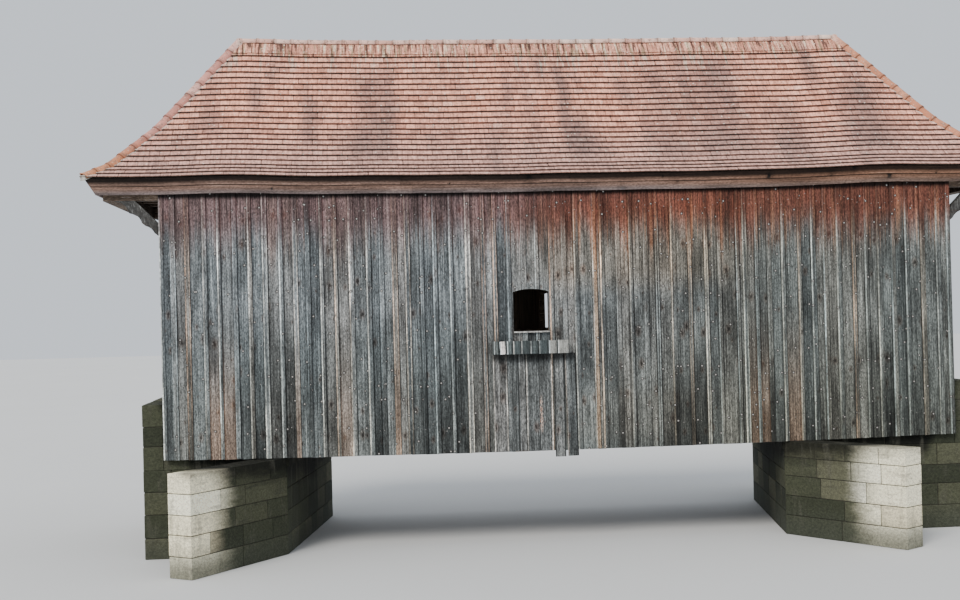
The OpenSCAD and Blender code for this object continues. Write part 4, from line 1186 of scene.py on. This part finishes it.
def buildDeck():
    chance = np.random.default_rng(decking["seed"])
    count = round(2 * bridge["halfLength"] / decking["plank"])
    step = 2 * bridge["halfLength"] / count
    long, ragged, thick = 2 * (decking["halfWidth"] - decking["gap"]), decking["ragged"], bridge["deckThick"]
    spots = []
    for i in range(count):
        x, y = -bridge["halfLength"] + (i + 0.5) * step, chance.uniform(-ragged, ragged)
        size = (step - decking["gap"], long, thick - chance.uniform(0, ragged))
        spots.append(spot((x, y, bridge["deckTop"] - thick), size=size, tone=chance.random()))
    edge = decking["columns"][-1]
    shape = gridBox("plank", decking["columns"], np.linspace(-0.5, 0.5, 7),
                    lambda x, y: decking["edgeTop"] if abs(x) == edge else decking["wornTop"] if x == 0 else 1.0,
                    lambda x, y: 0.0)
    piece = placeCopies("deckPlanks", spots, shape, "planks")
    finishPiece(piece, "planks", "deck_planks", "deck")


buildDeck()
print("deck laid")


# Masonry of the abutments

masonry = {
    "halfWidth": 1.99, "leftFace": 4.65, "rightFace": 3.64, "skew": 9.0, "seatZ": 1.65, "capHeight": 0.22,
    "capOut": 0.04, "wallBack": 6.95, "wallFront": 6.62, "wallTop": 2.49, "wingZ": 1.565, "wingLength": 2.3,
    "wingThick": 0.45, "wingSplay": 55.0, "course": 0.33, "shortest": 0.48, "longest": 0.92,
    "joint": 0.011, "bevel": 0.009, "mortarIn": 0.014, "seed": 61,
    "courseSpread": (0.88, 1.12), "stagger": 0.22, "rough": 0.006, "roughTop": 0.004,
    "lastCut": 1.1, "leastEnd": 0.6,  # parts of the shortest block
}


def planPoint(quad, s, t):
    a, b, c, d = quad
    return (a * (1 - s) + b * s) * (1 - t) + (d * (1 - s) + c * s) * t


def layBlocks(quad, lowZ, topZ, chance, columns):
    # Courses of blocks in a four-cornered plan: s runs from a to b, t from a to d
    blocks = []
    lengthS, lengthT = (np.linalg.norm(quad[i] - quad[0]) for i in (1, 3))
    shortest, half = masonry["shortest"], masonry["joint"] / 2
    courses = max(1, round((topZ - lowZ) / masonry["course"]))
    heights = chance.uniform(*masonry["courseSpread"], courses)
    levels = lowZ + np.concatenate([[0], np.cumsum(heights / heights.sum())]) * (topZ - lowZ)
    for k in range(courses):
        stagger = masonry["stagger"] if k % 2 else -masonry["stagger"]
        cutsS = [0.0] + [(i + stagger) / columns for i in range(1, columns)] + [1.0]
        for i in range(columns):
            cutsT, walk = [0.0], -chance.uniform(0, shortest)
            while walk < lengthT - shortest * masonry["lastCut"]:
                walk += chance.uniform(shortest, masonry["longest"])
                if shortest * masonry["leastEnd"] < walk < lengthT - shortest * masonry["leastEnd"]:
                    cutsT.append(walk / lengthT)
            cutsT.append(1.0)
            last = len(cutsT) - 2
            for j in range(last + 1):
                if i not in (0, columns - 1) and j not in (0, last):
                    continue
                back = [chance.uniform(0, masonry["rough"]) for _ in range(4)]
                s0 = cutsS[i] + (back[0] if i == 0 else half) / lengthS
                s1 = cutsS[i + 1] - (back[1] if i == columns - 1 else half) / lengthS
                t0 = cutsT[j] + (back[2] if j == 0 else half) / lengthT
                t1 = cutsT[j + 1] - (back[3] if j == last else half) / lengthT
                plan = [planPoint(quad, s, t) for s, t in ((s0, t0), (s1, t0), (s1, t1), (s0, t1))]
                z0 = levels[k] + (half if k else 0)
                z1 = levels[k + 1] - (half if k < courses - 1 else chance.uniform(0, masonry["roughTop"]))
                blocks.append((plan, z0, z1, chance.random()))
    return blocks


def coreOf(quad, lowZ, topZ):
    # The plan moved in from every side by the depth of the joints
    middle = sum(quad) / 4
    plan = []
    for i, corner in enumerate(quad):
        normals = []
        for a, b in ((quad[i - 1], corner), (corner, quad[(i + 1) % 4])):
            normal = np.array((a[1] - b[1], b[0] - a[0])) / np.linalg.norm(b - a)
            normals.append(normal if normal @ (middle - corner) > 0 else -normal)
        plan.append(corner + np.linalg.solve(np.array(normals), [masonry["mortarIn"]] * 2))
    return plan, lowZ + masonry["mortarIn"], topZ - masonry["mortarIn"], 0.0


def abutmentParts(faceFront, faceBack):
    # The right-hand abutment's seat, caps, end wall and wing walls: plan, low, top, columns of blocks
    half, out, front, back = (masonry[key] for key in ("halfWidth", "capOut", "wallFront", "wallBack"))
    seatLow = masonry["seatZ"] - masonry["capHeight"]
    seat = [(faceFront, -half), (back, -half), (back, half), (faceBack, half)]
    caps = [(faceFront - out, -half), (front, -half), (front, half), (faceBack - out, half)]
    end = [(front, -half), (back, -half), (back, half), (front, half)]
    parts = [(seat, 0.0, seatLow, 4), (caps, seatLow, masonry["seatZ"], 3), (end, seatLow, masonry["wallTop"], 1)]
    splay = math.radians(masonry["wingSplay"])
    run = np.array([math.cos(splay), -math.sin(splay)]) * masonry["wingLength"]
    inland = np.array([math.sin(splay), math.cos(splay)]) * masonry["wingThick"]
    for x, side in ((faceFront, 1), (faceBack, -1)):
        start = np.array((x, -half))
        quad = [start, start + inland, start + inland + run, start + run]
        parts.append(([(p[0], p[1] * side) for p in quad], 0.0, masonry["wingZ"], 1))
    return [([np.array(p, float) for p in plan], *others) for plan, *others in parts]


def buildAbutment(label, faceFront, faceBack, flip):
    chance = np.random.default_rng(masonry["seed"] + len(label))
    blocks, cores = [], []
    for quad, low, top, columns in abutmentParts(faceFront, faceBack):
        blocks += layBlocks(quad, low, top, chance, columns)
        cores.append(coreOf(quad, low, top))
    pieces = []
    for name, group in (("Masonry", blocks), ("Mortar", cores)):
        mesh = solids(label + name, [[[(x * flip, y, z) for x, y in plan] for z in (low, top)]
                                     for plan, low, top, _ in group])
        pointData(mesh, "tone", np.repeat([tone for *_, tone in group], 8))
        pieces.append(addObject(label + name, mesh))
    bevel = pieces[0].modifiers.new("worn", "BEVEL")
    bevel.width, bevel.segments, bevel.limit_method = masonry["bevel"], 2, "ANGLE"
    applyModifiers(pieces[0])
    finishPiece(pieces[0], "stone", "sandstone", label + "_abutment")
    finishPiece(pieces[1], "joints", "sandstone")


bankShift = 2 * masonry["halfWidth"] * math.tan(math.radians(masonry["skew"]))
buildAbutment("left", masonry["leftFace"], masonry["leftFace"] - bankShift, -1)
buildAbutment("right", masonry["rightFace"], masonry["rightFace"] + bankShift, 1)
print("abutments laid")


# Timbers that stay as CAD nodes

timberGrain = {
    "frameX": ("front_chord", "back_chord", "floor_joists", "front_plate", "back_plate", "front_rails",
               "back_rails", "stub_beams"),
    "frameY": ("bearing_timbers", "floor_beams", "end_plates", "tie_beams", "knee_braces", "collar_beams",
               "front_rafters", "back_rafters", "sprockets"),
    "frameZ": ("front_posts", "back_posts", "front_struts", "back_struts", "end_rafters", "hip_rafters"),
    "greyZ": ("left_eave_braces", "right_eave_braces"),
    "sill": ("window_sills",),
}
for finishName, members in timberGrain.items():
    for member in members:
        setFinish(cadNodes[member].data, finishName)
print("timbers finished")


# Floor, light and camera

studio = {
    "floorHalf": 120.0, "skyColour": (0.86, 0.92, 1.0), "skyStrength": 0.95,
    "sunStrength": 2.6, "sunAngle": 25.0, "sunTurn": (48.0, 0.0, -32.0), "sunColour": (1.0, 0.965, 0.91),
    "floorZ": -0.002,
}
floorMesh = meshFrom("studioFloor", [(x * studio["floorHalf"], y * studio["floorHalf"], studio["floorZ"])
                                     for x, y in ((-1, -1), (1, -1), (1, 1), (-1, 1))], [(0, 1, 2, 3)])
setFinish(floorMesh, "floor")
addObject("studioFloor", floorMesh)

world = bpy.data.worlds.new("softSky")
world.use_nodes = True
sky = world.node_tree.nodes["Background"]
sky.inputs["Color"].default_value = (*studio["skyColour"], 1)
sky.inputs["Strength"].default_value = studio["skyStrength"]
bpy.context.scene.world = world

sunData = bpy.data.lights.new("softSun", "SUN")
sunData.energy = studio["sunStrength"]
sunData.angle = math.radians(studio["sunAngle"])
sunData.color = studio["sunColour"]
sun = bpy.data.objects.new("softSun", sunData)
sun.rotation_euler = [math.radians(a) for a in studio["sunTurn"]]
bpy.context.scene.collection.objects.link(sun)

# The photograph's view: pixels of focal length on a frame that is 960 wide
view = {
    "focalPixels": 1333.0, "frameWidth": 960.0, "sensor": 36.0,
    "yaw": 5.084, "pitch": 0.473, "roll": -1.447, "place": (-3.378, -23.904, 3.875), "farthest": 500,
}
yaw, pitch, roll = (math.radians(view[k]) for k in ("yaw", "pitch", "roll"))
forward = Vector((math.sin(yaw) * math.cos(pitch), math.cos(yaw) * math.cos(pitch), math.sin(pitch)))
right = Vector((math.cos(yaw), -math.sin(yaw), 0))
up = right.cross(forward)
rolledRight = math.cos(roll) * right + math.sin(roll) * up
rolledUp = -math.sin(roll) * right + math.cos(roll) * up
cameraData = bpy.data.cameras.new("photoView")
cameraData.sensor_width = view["sensor"]
cameraData.lens = view["focalPixels"] / view["frameWidth"] * view["sensor"]
cameraData.clip_end = view["farthest"]
camera = bpy.data.objects.new("photoView", cameraData)
camera.matrix_world = Matrix((rolledRight, rolledUp, -forward)).transposed().to_4x4()
camera.location = view["place"]
bpy.context.scene.collection.objects.link(camera)
bpy.context.scene.camera = camera
print("light and camera set")
